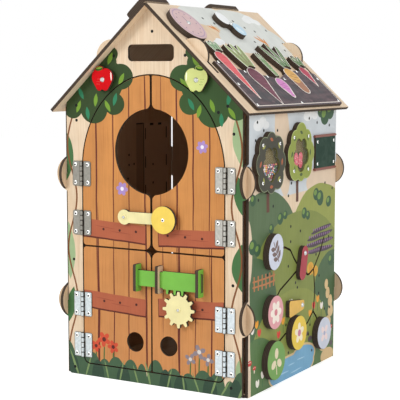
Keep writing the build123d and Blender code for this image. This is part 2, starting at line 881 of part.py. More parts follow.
def leaf_shape(top, y, length, width, fan, gap=0):
    # Three long leaves that fan out up the slope from the root's crown
    with BuildSketch() as shape:
        for step in (-1, 0, 1):
            turn = math.radians(step * fan)
            with Locations((top - math.cos(turn) * length / 2, y + math.sin(turn) * length / 2)):
                Ellipse(length / 2 + gap, width / 2 + gap, rotation=-step * fan)
    return shape.sketch


soil_half = half_inner_depth - soil_margin
vegetables = []
for name, across, crown, tip, leaf_tip, girth, end, broad, fan in zip(
    root_names,
    root_across_shares,
    root_crown_shares,
    root_tip_shares,
    leaf_tip_shares,
    root_girth_shares,
    root_end_shares,
    leaf_width_shares,
    leaf_fans,
):
    root = (girth * root_radius, (tip - crown) * slope_length, end * root_radius)
    leaf = ((crown - leaf_tip) * slope_length, broad * leaf_width, fan)
    vegetables.append((name, crown * slope_length, across * soil_half, root, leaf))

# Soil panel with a wavy top edge and a pocket for each vegetable
soil_foot = slope_length - soil_foot_margin
soil_front_top = soil_front_share * slope_length
soil_mid_top = soil_mid_share * slope_length
soil_back_top = soil_back_share * slope_length
soil_mid_y = soil_crest_share * soil_half

with BuildPart() as soil_panel:
    with BuildSketch(right_slope) as soil_outline:
        with BuildLine():
            ThreePointArc(
                (soil_front_top, -soil_half),
                (soil_rise_share * slope_length, (soil_mid_y - soil_half) / 2),
                (soil_mid_top, soil_mid_y),
            )
            ThreePointArc(
                (soil_mid_top, soil_mid_y),
                (soil_dip_share * slope_length, (soil_mid_y + soil_half) / 2),
                (soil_back_top, soil_half),
            )
            Polyline(
                (soil_back_top, soil_half),
                (soil_foot, soil_half),
                (soil_foot, -soil_half),
                (soil_front_top, -soil_half),
            )
        make_face()
        for side in sides:
            round_corner(soil_outline, soil_foot, side * soil_half, soil_round)
        for name, top, y, root, leaf in vegetables:
            add(root_shape(top, y, *root, gap=pocket_gap), mode=Mode.SUBTRACT)
            add(leaf_shape(top, y, *leaf, gap=pocket_gap), mode=Mode.SUBTRACT)
    extrude(amount=soil_sheet)
save(soil_panel, "soil_panel")

# Vegetables lying in the soil's pockets, with a second layer on their leaves
for name, top, y, root, leaf in vegetables:
    with BuildPart() as vegetable:
        with BuildSketch(right_slope.offset(rest_gap)):
            add(root_shape(top, y, *root))
            add(leaf_shape(top, y, *leaf))
        extrude(amount=soil_sheet)
        with BuildSketch(right_slope.offset(rest_gap + soil_sheet)):
            add(leaf_shape(top, y, *leaf))
            add(root_shape(top, y, *root), mode=Mode.SUBTRACT)
        extrude(amount=leaf_layer)
    save(vegetable, name)

# Dial and cloud near the ridge, with their pivots
slope_rest = right_slope.offset(rest_gap)
dial_y = dial_radius - half_depth - dial_edge
dial_place = gable_ear_place - gable_ear_chord / 2 - dial_gap - dial_reach_share * dial_radius
cloud_place = cloud_share * slope_length

with BuildPart() as roof_dial:
    with BuildSketch(slope_rest):
        with Locations((dial_place, dial_y)):
            Circle(dial_radius)
            Circle(pivot_radius + running_gap, mode=Mode.SUBTRACT)
    extrude(amount=dial_thick)
    dial_top = roof_dial.faces().sort_by(Axis(slope_rest.origin, slope_rest.z_dir))[-1]
    fillet(dial_top.edges().sort_by(SortBy.LENGTH)[-1], edge_round)
save(roof_dial, "roof_dial")

with BuildPart() as roof_cloud:
    with BuildSketch(slope_rest):
        with Locations(Location((cloud_place, cloud_y, 0), (0, 0, cloud_lean))):
            Rectangle(2 * cloud_step, cloud_neck)
            with Locations((-cloud_step, 0), (cloud_step, 0)):
                Circle(cloud_lobe_radius)
            Circle(pivot_radius + running_gap, mode=Mode.SUBTRACT)
    extrude(amount=dial_thick)
save(roof_cloud, "roof_cloud")

with BuildPart() as roof_pivots:
    pivot_screw(right_slope, (dial_place, dial_y), rest_gap + dial_thick)
    pivot_screw(right_slope, (cloud_place, cloud_y), rest_gap + dial_thick)
save(roof_pivots, "roof_pivots")
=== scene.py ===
import bpy
import bmesh
import json
import math
import random
from mathutils import Matrix, Vector


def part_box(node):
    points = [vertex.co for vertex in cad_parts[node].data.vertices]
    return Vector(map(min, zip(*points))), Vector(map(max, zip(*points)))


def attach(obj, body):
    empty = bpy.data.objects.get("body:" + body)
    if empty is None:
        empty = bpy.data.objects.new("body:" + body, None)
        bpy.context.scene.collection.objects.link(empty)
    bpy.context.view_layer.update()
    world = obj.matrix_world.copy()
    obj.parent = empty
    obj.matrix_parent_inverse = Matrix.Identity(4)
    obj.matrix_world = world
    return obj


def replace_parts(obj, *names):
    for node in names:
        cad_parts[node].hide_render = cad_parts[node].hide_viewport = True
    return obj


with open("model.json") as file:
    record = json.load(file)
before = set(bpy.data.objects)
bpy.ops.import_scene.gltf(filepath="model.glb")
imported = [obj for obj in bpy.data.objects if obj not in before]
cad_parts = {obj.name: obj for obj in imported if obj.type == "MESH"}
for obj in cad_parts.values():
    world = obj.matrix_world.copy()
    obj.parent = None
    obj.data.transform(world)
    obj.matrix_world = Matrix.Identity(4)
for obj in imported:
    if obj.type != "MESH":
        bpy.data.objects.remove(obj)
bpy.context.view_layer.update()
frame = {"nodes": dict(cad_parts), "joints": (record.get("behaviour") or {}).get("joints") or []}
cad = frame["nodes"]
joints = {joint["name"]: joint for joint in frame["joints"]}
mm = 0.001
print("frame loaded:", len(cad), "CAD nodes")


def linear(hexColour):  # sRGB hex to the linear colour that a shader socket takes
    parts = [int(hexColour[i:i + 2], 16) / 255 for i in (1, 3, 5)]
    return tuple(p / 12.92 if p <= 0.04045 else ((p + 0.055) / 1.055) ** 2.4 for p in parts) + (1.0,)


def add(tree, kind, inputs=None, output=0, **settings):  # one node with its settings and links
    made = tree.nodes.new("ShaderNode" + kind)
    for name, value in settings.items():
        setattr(made, name, value)
    for key, value in (inputs or {}).items():
        if isinstance(value, bpy.types.NodeSocket):
            tree.links.new(value, made.inputs[key])
        else:
            made.inputs[key].default_value = value
    return made.outputs[output] if len(made.outputs) else made


def newMaterial(name):
    material = bpy.data.materials.new(name)
    material.use_nodes = True
    material.node_tree.nodes.clear()
    return material, material.node_tree


def finishWith(tree, sockets):  # closes a material with its surface
    add(tree, "OutputMaterial", {"Surface": add(tree, "BsdfPrincipled", sockets)})


def dress(material, *names):  # gives CAD nodes a finish, their shape stays as it is
    for name in names:
        data = cad[name].data
        if not data.materials:
            data.materials.append(material)
        for i in range(len(data.materials)):
            data.materials[i] = material


# The flat face that each sheet shows: u and v run along it in mm, out points away from the house
roofOut = Vector(joints["roof_dial_spin"]["axis"]).normalized()
ridgeZ = roofOut.dot(Vector(joints["roof_dial_spin"]["pos_m"])) / roofOut.z
roofRise = ridgeZ * roofOut.x
faces = {
    "front": {"u": (1, 0, 0), "v": (0, 0, 1), "out": (0, -1, 0), "rise": 0},
    "back": {"u": (-1, 0, 0), "v": (0, 0, 1), "out": (0, 1, 0), "rise": 0},
    "right": {"u": (0, 1, 0), "v": (0, 0, 1), "out": (1, 0, 0), "rise": 0},
    "left": {"u": (0, -1, 0), "v": (0, 0, 1), "out": (-1, 0, 0), "rise": 0},
    "rightRoof": {"u": (0, 1, 0), "v": (roofOut.z, 0, -roofOut.x), "out": tuple(roofOut), "rise": roofRise},
    "leftRoof": {
        "u": (0, -1, 0), "v": (-roofOut.z, 0, -roofOut.x), "out": (-roofOut.x, 0, roofOut.z),
        "rise": roofRise,
    },
    "top": {"u": (1, 0, 0), "v": (0, 1, 0), "out": (0, 0, 1), "rise": 0},
}
wallIn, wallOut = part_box("right_wall")[0].x / mm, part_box("right_wall")[1].x / mm
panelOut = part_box("back_panel")[1].y / mm
earsFrom = {"front": wallOut, "back": wallOut, "left": panelOut, "right": panelOut}


def faceSpot(tree, position, face):  # u, v and both together along a face, in mm
    place = faces[face]
    across = add(tree, "VectorMath", {0: position, 1: place["u"]}, "Value", operation="DOT_PRODUCT")
    along = add(tree, "VectorMath", {0: position, 1: place["v"]}, "Value", operation="DOT_PRODUCT")
    u = add(tree, "Math", {0: across, 1: 1 / mm}, operation="MULTIPLY")
    v = add(tree, "Math", {0: along, 1: 1 / mm, 2: place["rise"] / mm}, operation="MULTIPLY_ADD")
    return u, v, add(tree, "CombineXYZ", {0: u, 1: v})


softSpan = (0.35, 0.65)  # the part of a noise where it changes most


def streaks(tree, spot, size, span, show=(0.0, 1.0), **look):
    # soft marks as wide and long as size in mm: the noise between span's ends goes to show's ends
    drawn = add(tree, "VectorMath", {0: spot, 1: (1 / size[0], 1 / size[1], 1)}, operation="MULTIPLY")
    noise = add(tree, "TexNoise", {"Vector": drawn, "Scale": 1.0, **look})
    return add(tree, "MapRange", {0: noise, 1: span[0], 2: span[1], 3: show[0], 4: show[1]})


def mottle(tree, size, span=(0.0, 1.0), show=(0.0, 1.0), detail=2.0):  # the same, as round patches all over
    position = add(tree, "TexCoord", output="Object")
    noise = add(tree, "TexNoise", {"Vector": position, "Scale": 1 / (size * mm), "Detail": detail})
    return add(tree, "MapRange", {0: noise, 1: span[0], 2: span[1], 3: show[0], 4: show[1]})


def ink(tree, spot, colour, hexColour, shapes):
    # prints one colour over shapes of (kind, u, v, half width, half height, turn), in mm and degrees
    stencil = bpy.data.node_groups.new("stencil", "ShaderNodeTree")
    stencil.interface.new_socket("spot", in_out="INPUT", socket_type="NodeSocketVector")
    stencil.interface.new_socket("inside", in_out="OUTPUT", socket_type="NodeSocketFloat")
    at = stencil.nodes.new("NodeGroupInput").outputs[0]
    cover = None
    for kind, u, v, halfU, halfV, turn, *end in shapes:
        cos, sin = math.cos(math.radians(turn)), math.sin(math.radians(turn))
        along, across = (cos / halfU, sin / halfU, 0), (-sin / halfV, cos / halfV, 0)
        local = add(stencil, "VectorMath", {0: at, 1: (u, v, 0)}, operation="SUBTRACT")
        x = add(stencil, "VectorMath", {0: local, 1: along}, "Value", operation="DOT_PRODUCT")
        y = add(stencil, "VectorMath", {0: local, 1: across}, "Value", operation="DOT_PRODUCT")
        if kind == "oval":
            reach = add(stencil, "Math", {0: x, 1: x}, operation="MULTIPLY")
            reach = add(stencil, "Math", {0: y, 1: y, 2: reach}, operation="MULTIPLY_ADD")
        elif kind == "leaf":  # a lens with its points at both ends of u
            reach = add(stencil, "Math", {0: y}, operation="ABSOLUTE")
            reach = add(stencil, "Math", {0: x, 1: x, 2: reach}, operation="MULTIPLY_ADD")
        else:
            side = add(stencil, "Math", {0: x}, operation="ABSOLUTE")
            if kind == "taper":  # a root that narrows from its crown at 0 to its tip at 1
                girth = add(stencil, "MapRange", {0: y, 3: 1.0, 4: end[0]})
                side = add(stencil, "Math", {0: side, 1: girth}, operation="DIVIDE")
                y = add(stencil, "Math", {0: y, 1: 2.0, 2: -1.0}, operation="MULTIPLY_ADD")
            reach = add(stencil, "Math", {0: y}, operation="ABSOLUTE")
            reach = add(stencil, "Math", {0: side, 1: reach}, operation="MAXIMUM")
        cover = reach if cover is None else add(stencil, "Math", {0: cover, 1: reach}, operation="MINIMUM")
    inside = add(stencil, "Math", {0: cover, 1: 1.0}, operation="LESS_THAN")
    stencil.links.new(inside, stencil.nodes.new("NodeGroupOutput").inputs[0])
    cut = add(tree, "Group", {0: spot}, node_tree=stencil)
    return add(tree, "MixRGB", {"Fac": cut, "Color1": colour, "Color2": linear(hexColour)})


def inkAll(tree, colour, layers):  # prints layers of (spot, colour, shapes) in their order
    for spot, hexColour, shapes in layers:
        colour = ink(tree, spot, colour, hexColour, shapes)
    return colour


def shapesOf(kind, rows, *turn):
    return [(kind, *row, *turn) for row in rows]


def dots(places, radius):
    return [("oval", u, v, radius, radius, 0) for u, v in places]


def grown(places, *forms):  # forms drawn for size 1, set at each u and v in its size
    return [(kind, u + du * size, v + dv * size, wide * size, tall * size, turn)
            for u, v, size in places for kind, du, dv, wide, tall, turn in forms]


def moved(shapes, at):  # shapes drawn round 0, 0 taken to their place
    return [(kind, u + at[0], v + at[1], *rest) for kind, u, v, *rest in shapes]


def blossom(size, petals, turn=0):
    reach, long, wide = size * 0.55, size * 0.42, size * 0.3
    spots = [math.radians(turn + 360 / petals * k) for k in range(petals)]
    return [("oval", math.cos(a) * reach, math.sin(a) * reach, long, wide, math.degrees(a)) for a in spots]


def looseSpot(tree, spot, size, amount):  # a hand-drawn wobble of the print, size and amount in mm
    drift = add(tree, "TexNoise", {"Vector": spot, "Scale": 1 / size, "Detail": 1.0}, "Color")
    drift = add(tree, "VectorMath", {0: drift, 1: (0.5, 0.5, 0.5)}, operation="SUBTRACT")
    drift = add(tree, "VectorMath", {0: drift, "Scale": 2 * amount}, operation="SCALE")
    return add(tree, "VectorMath", {0: spot, 1: drift}, operation="ADD")


def middleOf(node, face):  # middle of a node in its sheet's own mm
    low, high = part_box(node)
    middle = (low + high) / 2
    place = faces[face]
    return (middle.dot(Vector(place["u"])) / mm, (middle.dot(Vector(place["v"])) + place["rise"]) / mm)


# Rotary-cut birch plywood, laser cut: a pale face with long soft grain, a charred edge with darker glue lines
birch = {
    "wood": "#EAD6BC", "grain": "#DDC3A3", "grainSize": (2.4, 90), "grainSpan": (0.3, 0.7), "relief": 0.15,
    "figure": "#D3B088", "figureSize": (26, 230), "figureSpan": (0.48, 0.74), "figureShow": (0.0, 0.34),
    "burnt": "#66574D", "char": "#33291F", "veneer": 1.5, "charGrit": 1.2, "edgeRoughness": 0.85,
    # inside tints the inner faces inside the house browner: painted shade
    "inside": "#E3CEBF", "ear": "#EAE2DA", "inkSize": (32, 32), "inkThin": (1.0, 0.93),
    "bump": 0.12, "glossier": 0.05, "rougher": 0.08,
}
faceTilt = 0.75  # cosine above which a surface counts as the sheet's face


def underRoof(tree, away, v, height):  # 1 below the roof's slopes, height is where they meet
    rise = add(tree, "Math", {0: away, 1: roofOut.x / roofOut.z, 2: v}, operation="MULTIPLY_ADD")
    return add(tree, "Math", {0: rise, 1: height}, operation="LESS_THAN")


def sheetMaterial(name, face, printFace=None, edgePrint=None, inside=None, insidePrint=None,
                  roughness=0.5, grainShow=0.07, shine=0.18):
    material, tree = newMaterial(name)
    out = faces[face]["out"]
    position = add(tree, "TexCoord", output="Object")
    u, v, spot = faceSpot(tree, position, face)
    away = add(tree, "Math", {0: u}, operation="ABSOLUTE")
    grain = streaks(tree, spot, birch["grainSize"], birch["grainSpan"], Detail=4.0, Roughness=0.6)
    wood = add(tree, "MixRGB", {"Fac": grain, "Color1": linear(birch["wood"]),
                                "Color2": linear(birch["grain"])})
    figure = streaks(tree, spot, birch["figureSize"], birch["figureSpan"], birch["figureShow"],
                     Detail=2.0, Distortion=1.2)
    wood = add(tree, "MixRGB", {"Fac": figure, "Color1": wood, "Color2": linear(birch["figure"])})
    if face in earsFrom:  # the ears are a little darker
        isEar = add(tree, "Math", {0: away, 1: earsFrom[face]}, operation="GREATER_THAN")
        wood = add(tree, "MixRGB", {"Fac": isEar, "Color1": wood, "Color2": linear(birch["ear"])},
                   blend_type="MULTIPLY")
    shown = wood
    if printFace:  # the ink lies a little uneven
        thin = streaks(tree, spot, birch["inkSize"], softSpan, birch["inkThin"], Detail=3.0)
        shown = add(tree, "MixRGB", {"Fac": 1.0, "Color1": printFace(tree, spot, wood), "Color2": thin},
                    blend_type="MULTIPLY")
    tint = add(tree, "MapRange", {0: grain, 3: 1.0, 4: 1.0 - grainShow})
    shown = add(tree, "MixRGB", {"Fac": 1.0, "Color1": shown, "Color2": tint}, blend_type="MULTIPLY")

    # charred edge: veneers show as bands through the sheet, the char is patchy
    grit = add(tree, "TexNoise", {"Vector": position, "Scale": 1 / (birch["charGrit"] * mm), "Detail": 3.0})
    deep = add(tree, "VectorMath", {0: position, 1: out}, "Value", operation="DOT_PRODUCT")
    bands = add(tree, "Math", {0: deep, 1: 1 / (birch["veneer"] * mm)}, operation="MULTIPLY")
    bands = add(tree, "Math", {0: bands, 1: 1.0}, operation="PINGPONG")
    burn = add(tree, "Math", {0: bands, 1: grit}, operation="MULTIPLY")
    edge = add(tree, "MixRGB", {"Fac": burn, "Color1": linear(birch["char"]),
                                "Color2": linear(birch["burnt"])})
    if edgePrint:
        edge = edgePrint(tree, spot, edge)

    normal = add(tree, "TexCoord", output="Normal")
    facing = add(tree, "VectorMath", {0: normal, 1: out}, "Value", operation="DOT_PRODUCT")
    flat = add(tree, "Math", {0: facing}, operation="ABSOLUTE")
    isFace = add(tree, "Math", {0: flat, 1: faceTilt}, operation="GREATER_THAN")
    if printFace or inside:  # the side towards the house stays bare, tinted browner inside the house itself as painted shade
        isInside = add(tree, "Math", {0: facing, 1: -faceTilt}, operation="LESS_THAN")
        inRoom = add(tree, "Math", {0: away, 1: wallIn}, operation="LESS_THAN")
        below = underRoof(tree, away, v, ridgeZ / mm)
        inRoom = add(tree, "Math", {0: inRoom, 1: below}, operation="MULTIPLY")
        paintedRoomShade = add(tree, "MixRGB", {"Fac": inRoom, "Color1": (1, 1, 1, 1),
                                     "Color2": linear(inside or "#FFFFFF")})
        bare = add(tree, "MixRGB", {"Fac": 1.0, "Color1": wood, "Color2": paintedRoomShade}, blend_type="MULTIPLY")
        if insidePrint:
            bare = insidePrint(tree, spot, bare)
        shown = add(tree, "MixRGB", {"Fac": isInside, "Color1": shown, "Color2": bare})
    colour = add(tree, "MixRGB", {"Fac": isFace, "Color1": edge, "Color2": shown})
    smooth, dry = roughness - birch["glossier"], roughness + birch["rougher"]
    gloss = add(tree, "MapRange", {0: grain, 3: smooth, 4: dry})
    rough = add(tree, "MapRange", {0: isFace, 3: birch["edgeRoughness"], 4: gloss})
    relief = add(tree, "Bump", {"Strength": birch["bump"], "Distance": birch["relief"] * mm, "Height": grain})
    finishWith(tree, {"Base Color": colour, "Roughness": rough, "Specular IOR Level": shine,
                      "Normal": relief})
    return material


# Foliage and grass printed over the front panel and the doors together
garden = {
    # the left bush is printed darker as painted shade, its mirror on the right lighter as painted light
    "bush": "#2F4320", "paintedLitBush": "#355028", "lime": "#749A34", "teal": "#2F7F5A",
    "grass": "#456046", "grassShade": "#334A3A", "blade": "#7C9460", "wobble": (30, 0.8), "root": -2,
    "mirrorShift": 3, "mirrorRises": (3, -2), "mirrorWider": 1, "leafShift": (6, -7), "leafMirror": 194,
    "bushOvals": [  # u, v, half width, half height beside the left roof slope, mirrored for the right one
        (-86, 592, 17, 14), (-64, 552, 27, 23), (-78, 504, 22, 20), (-122, 495, 30, 27), (-168, 496, 21, 20),
        (-100, 545, 42, 42), (-146, 518, 40, 28), (-96, 578, 24, 22),
    ],
    "bushLeaves": {  # u, v, turn
        "lime": [(-156, 498, 68), (-118, 510, 82), (-92, 500, 120), (-62, 548, 62), (-86, 584, 66)],
        "teal": [(-136, 486, 100), (-76, 512, 74), (-150, 522, 116)],
    },
    "leafHalf": (12, 4.2),
    "tufts": [  # u, half width, height
        (-190, 26, 66), (-160, 24, 50), (-130, 20, 47), (-103, 17, 38), (-78, 22, 44), (-46, 19, 43),
        (-22, 12, 38), (8, 20, 49), (46, 20, 38), (76, 18, 33), (106, 22, 42), (134, 18, 42),
        (160, 12, 30), (182, 20, 48),
    ],
    "darkTufts": [(-176, 16, 40), (-118, 14, 34), (-62, 15, 32), (28, 13, 34), (60, 14, 28), (120, 15, 33),
                  (172, 13, 34)],
    "blades": [  # u, middle v, half length, half width, turn
        (-170, 18, 30, 2.4, 112), (-140, 16, 26, 1.8, 72), (-98, 13, 22, 1.7, 104), (-66, 15, 24, 1.8, 78),
        (-34, 12, 22, 1.7, 108), (-8, 17, 26, 2.2, 104), (36, 14, 24, 1.7, 76), (66, 10, 20, 1.7, 98),
        (92, 14, 22, 1.7, 112), (128, 15, 24, 2.0, 70), (150, 12, 22, 1.8, 58), (186, 18, 30, 3.0, 64),
    ],
}


def frontFoliage(tree, spot, colour):
    plan = garden
    left, half, (shiftU, shiftV) = plan["bushOvals"], plan["leafHalf"], plan["leafShift"]
    right = [(plan["mirrorShift"] - u, v + plan["mirrorRises"][i % 2], wide + plan["mirrorWider"], tall)
             for i, (u, v, wide, tall) in enumerate(left)]
    # left bush in painted shade, right bush in painted light
    layers = [("bush", shapesOf("oval", left, 0)), ("paintedLitBush", shapesOf("oval", right, 0))]
    for tone, leaves in plan["bushLeaves"].items():
        shapes = [("leaf", u, v, *half, turn) for u, v, turn in leaves]
        shapes += [("leaf", shiftU - u, v + shiftV, *half, plan["leafMirror"] - turn)
                   for u, v, turn in leaves]
        layers.append((tone, shapes))
    for tone, tufts in (("grass", plan["tufts"]), ("grassShade", plan["darkTufts"])):
        layers.append((tone, [("oval", u, plan["root"], wide, tall, 0) for u, wide, tall in tufts]))
    layers.append(("blade", shapesOf("leaf", plan["blades"])))
    loose = looseSpot(tree, spot, *plan["wobble"])
    return inkAll(tree, colour, [(loose, plan[tone], shapes) for tone, shapes in layers])


# Butt hinges of pressed steel; the upper doors' hinges are a darker grey, a painted reflection of darker
# surroundings
hinge = {
    "tall": 46, "half": 20, "inset": 6.5, "metal": 1.2, "screwRadius": 4.0, "barrel": 2.6, "notch": 4.4,
    "knuckles": 5, "knuckleGap": 0.9, "rim": 1.4, "plateRim": 0.98, "patch": 5,
    # gap and edge are painted shade: in the notches, between the knuckles and on the rims
    "gap": "#3B342E", "edge": "#77736B", "spangle": "#E7E9E9",
    # the upper doors' hinges are darker: painted reflection
    "tones": {"upper_left": "#918E86", "upper_right": "#B0AEA7",
              "lower_left": "#C3CBCD", "lower_right": "#C9D2D7"},
}
leafBodies = list(hinge["tones"])


def hingePlaces(leaf):  # u and v of the middles of one door's two hinges
    low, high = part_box("door_" + leaf + "_hinge_leaves")
    axis = joints[leaf + "_door"]["pos_m"][0] / mm
    return [(axis, high.z / mm - hinge["tall"] / 2), (axis, low.z / mm + hinge["tall"] / 2)]


def allHinges(halfWide, halfTall):  # a box at every hinge
    return [("box", *place, halfWide, halfTall, 0) for leaf in leafBodies for place in hingePlaces(leaf)]


# Painted shade printed where the panel and doors show through the notches beside the barrels
hingeNotchShade = allHinges(hinge["notch"], hinge["tall"] / 2 - hinge["rim"])

# Climbing plants on the frame's stiles, and the drilled holes of the front panel, printed as black dots of
# painted shade
# The holes are not cut in the sheets: their dark insides are black dots of painted shade
drillHoleShade = {"hole": "#080605", "radius": 2.8}
stiles = {
    "stem": "#80502F", "leaf": "#466F42", "pale": "#9DB487", "wobble": (40, 1.5),
    "stemAt": 172, "stemSway": 10, "stemRepeat": 190, "stemHalf": 1.8,
    "leaves": [  # u, v, half length, half width, turn
        (-184, 405, 44, 15, 88), (178, 352, 34, 12, 98), (-178, 130, 36, 11, 78), (183, 226, 42, 20, 92),
    ],
    "paleLeaves": [(-180, 232, 54, 13, 92), (182, 452, 52, 19, 90), (183, 50, 30, 12, 80)],
    "holes": [(3, 631), (-78, 589), (70, 589), (-161, 500), (-161, 473), (136, 492), (154, 503), (166, 456),
              (165, 196), (162, 16), (-170, 216), (-170, 13)],
}


def frontPanelPrint(tree, spot, wood):
    loose = looseSpot(tree, spot, *stiles["wobble"])
    colour = inkAll(tree, wood, [(loose, stiles["leaf"], shapesOf("leaf", stiles["leaves"])),
                                 (loose, stiles["pale"], shapesOf("leaf", stiles["paleLeaves"]))])
    u = add(tree, "VectorMath", {0: spot, 1: (1, 0, 0)}, "Value", operation="DOT_PRODUCT")
    v = add(tree, "VectorMath", {0: spot, 1: (0, 1, 0)}, "Value", operation="DOT_PRODUCT")
    wave = add(tree, "Math", {0: v, 1: 2 * math.pi / stiles["stemRepeat"]}, operation="MULTIPLY")
    wave = add(tree, "Math", {0: wave}, operation="SINE")
    stem = add(tree, "Math", {0: wave, 1: stiles["stemSway"], 2: stiles["stemAt"]}, operation="MULTIPLY_ADD")
    away = add(tree, "Math", {0: u}, operation="ABSOLUTE")
    onStem = add(tree, "Math", {0: away, 1: stem, 2: stiles["stemHalf"]}, operation="COMPARE")
    colour = add(tree, "MixRGB", {"Fac": onStem, "Color1": colour, "Color2": linear(stiles["stem"])})
    colour = frontFoliage(tree, spot, colour)
    below = underRoof(tree, away, v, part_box("front_panel")[1].z / mm)
    within = add(tree, "Math", {0: away, 1: wallOut}, operation="LESS_THAN")
    printed = add(tree, "Math", {0: below, 1: within}, operation="MULTIPLY")
    colour = add(tree, "MixRGB", {"Fac": printed, "Color1": wood, "Color2": colour})  # the ears are bare
    # painted shade under the hinge notches, then the drilled holes as black dots of painted shade
    return inkAll(tree, colour, [(spot, hinge["gap"], hingeNotchShade),
                                 (spot, drillHoleShade["hole"], dots(stiles["holes"], drillHoleShade["radius"]))])


# Door leaves printed as sawn planks with two ledges each
planks = {
    # low, with its span and share: the doors are printed darker towards the bottom, painted shade
    "pale": "#D29050", "warm": "#C4854B", "toneSize": (34, 500), "low": "#CA8D5B", "lowShadeSpan": (330, 60),
    "lowShadeShow": 0.6, "streak": "#B9773F", "streakSize": (1.6, 80), "streakSpan": (0.52, 0.75),
    "streakShow": (0.0, 0.75), "joint": "#652D22", "jointWobble": (90, 2.2),
    "joints": [  # u, middle v, half length, half width
        (-118, 420, 240, 1.7), (-81, 430, 240, 1.3), (-47, 420, 230, 1.3), (-13, 420, 200, 1.9),
        (20, 430, 180, 0.8), (53, 420, 230, 1.8), (86, 430, 230, 1.5), (119, 420, 230, 1.2),
        (-115, 120, 210, 2.6), (-81, 130, 190, 1.2), (-49, 140, 170, 1.2), (-11, 120, 210, 2.0),
        (24, 190, 110, 1.0), (57, 140, 190, 2.5), (90, 130, 170, 0.9), (123, 120, 200, 1.5),
    ],
    "ledge": "#B06043", "ledgeLine": "#5E2A1F", "lineLow": 1.8, "linePast": 1.2, "ledgeWobble": (45, 1.4),
    "ledges": [  # middle u, middle v, half length, half width, turn
        (-80, 275, 67, 15.5, -2.6), (81, 272, 66, 14.5, 2.4),
        (-80, 143, 67, 15, -2.8), (81, 147, 66, 15, 2.6),
    ],
    "scratch": "#9A5039", "scratches": [(-20, 5), (14, -3)], "scratchHalf": (24, 0.7), "scratchTurn": -2,
    "nail": "#4A2620", "nailStep": 35, "nailShift": 12, "nailRise": 1, "nailRadius": 2.4,
}


# Own posies on the doors: poppies and bellflowers in the grass, two lilac stars higher up
posy = {  # u, v and size of each flower
    "poppies": {"petals": 5, "petal": "#CF5238", "heart": "#5B2A22",
                "at": [(-104, 72, 15), (-84, 60, 13), (-122, 58, 12)]},
    "bells": {"petals": 4, "petal": "#8D8289", "heart": "#DAD3CE",
              "at": [(98, 72, 14), (116, 60, 12), (80, 57, 12)]},
    "stars": {"petals": 6, "petal": "#A98BC4", "heart": "#EDE6F2", "at": [(-62, 352, 13), (104, 432, 12)]},
}
posyStem = {"colour": "#4C6B3A", "half": 1.4, "foot": 8, "turn": 88, "twist": 3}
posyHeart = ("oval", 0, 0, 0.28, 0.28, 0)


def doorPrint(tree, spot, wood):
    plan, ledges = planks, planks["ledges"]
    tone = streaks(tree, spot, plan["toneSize"], softSpan, Detail=1.0)
    colour = add(tree, "MixRGB", {"Fac": tone, "Color1": linear(plan["pale"]),
                                  "Color2": linear(plan["warm"])})
    v = add(tree, "VectorMath", {0: spot, 1: (0, 1, 0)}, "Value", operation="DOT_PRODUCT")
    # painted shade: darker towards the bottom of the doors
    lowFrom, lowTo = plan["lowShadeSpan"]
    low = add(tree, "MapRange", {0: v, 1: lowFrom, 2: lowTo, 3: 0.0, 4: plan["lowShadeShow"]})
    colour = add(tree, "MixRGB", {"Fac": low, "Color1": colour, "Color2": linear(plan["low"])})
    fine = streaks(tree, spot, plan["streakSize"], plan["streakSpan"], plan["streakShow"], Detail=2.0)
    colour = add(tree, "MixRGB", {"Fac": fine, "Color1": colour, "Color2": linear(plan["streak"])})
    past = plan["linePast"]
    lines = [("box", u, v - plan["lineLow"], half + past, wide + past, turn)
             for u, v, half, wide, turn in ledges]
    scratches = [("leaf", u + du, v + dv, *plan["scratchHalf"], turn + plan["scratchTurn"])
                 for u, v, _, _, turn in ledges for du, dv in plan["scratches"]]
    nails = [(u - math.copysign(plan["nailShift"], u) + k * plan["nailStep"], v + plan["nailRise"])
             for u, v, *_ in ledges for k in (-1, 0, 1)]
    stems = [("leaf", u, v / 2 + posyStem["foot"], v / 2, posyStem["half"], posyStem["turn"])
             for part in ("poppies", "bells") for u, v, _ in posy[part]["at"]]
    loose, drawn = looseSpot(tree, spot, *plan["jointWobble"]), looseSpot(tree, spot, *plan["ledgeWobble"])
    layers = [
        (loose, plan["joint"], shapesOf("leaf", plan["joints"], 90)), (drawn, plan["ledgeLine"], lines),
        (drawn, plan["ledge"], shapesOf("box", ledges)), (drawn, plan["scratch"], scratches),
        (drawn, plan["nail"], dots(nails, plan["nailRadius"])), (spot, posyStem["colour"], stems),
    ]
    for flower in posy.values():
        petals = [shape for u, v, size in flower["at"]
                  for shape in moved(blossom(size, flower["petals"], posyStem["twist"] * u), (u, v))]
        layers += [(spot, flower["petal"], petals), (spot, flower["heart"], grown(flower["at"], posyHeart))]
    colour = frontFoliage(tree, spot, inkAll(tree, colour, layers))
    # painted shade under the hinge notches
    return ink(tree, spot, colour, hinge["gap"], hingeNotchShade)


# Inner panel of the left wall, dimly seen through the window, printed flat: its face, its side and outline
# darker as painted shade, and its tab slots and drilled holes as bars and dots of painted shade
innerPanel = {
    # return, line and the colour of the slots are painted shade: the panel's side, its edge line and its
    # openings
    "face": "#CFAC8E", "return": "#A98669", "line": "#4A3424", "slot": "#2E2016",
    "middle": (-121, 372), "half": (47, 86), "returnAt": (-59, 371), "returnHalf": (12.5, 86),
    "lineWide": 1.5,
    "slots": [(side, v, 1.6, 11.5) for side in (-80.6, -161) for v in (436, 378, 320)] + [
        (-104.5, 454.5, 6.5, 2.2), (-135.4, 454.4, 6.5, 2.2)],
    "holes": [(-20, 396), (-20, 376), (-38, 377), (-16, 349), (-109, 372), (-109, 334)], "holeRadius": 2.4,
}


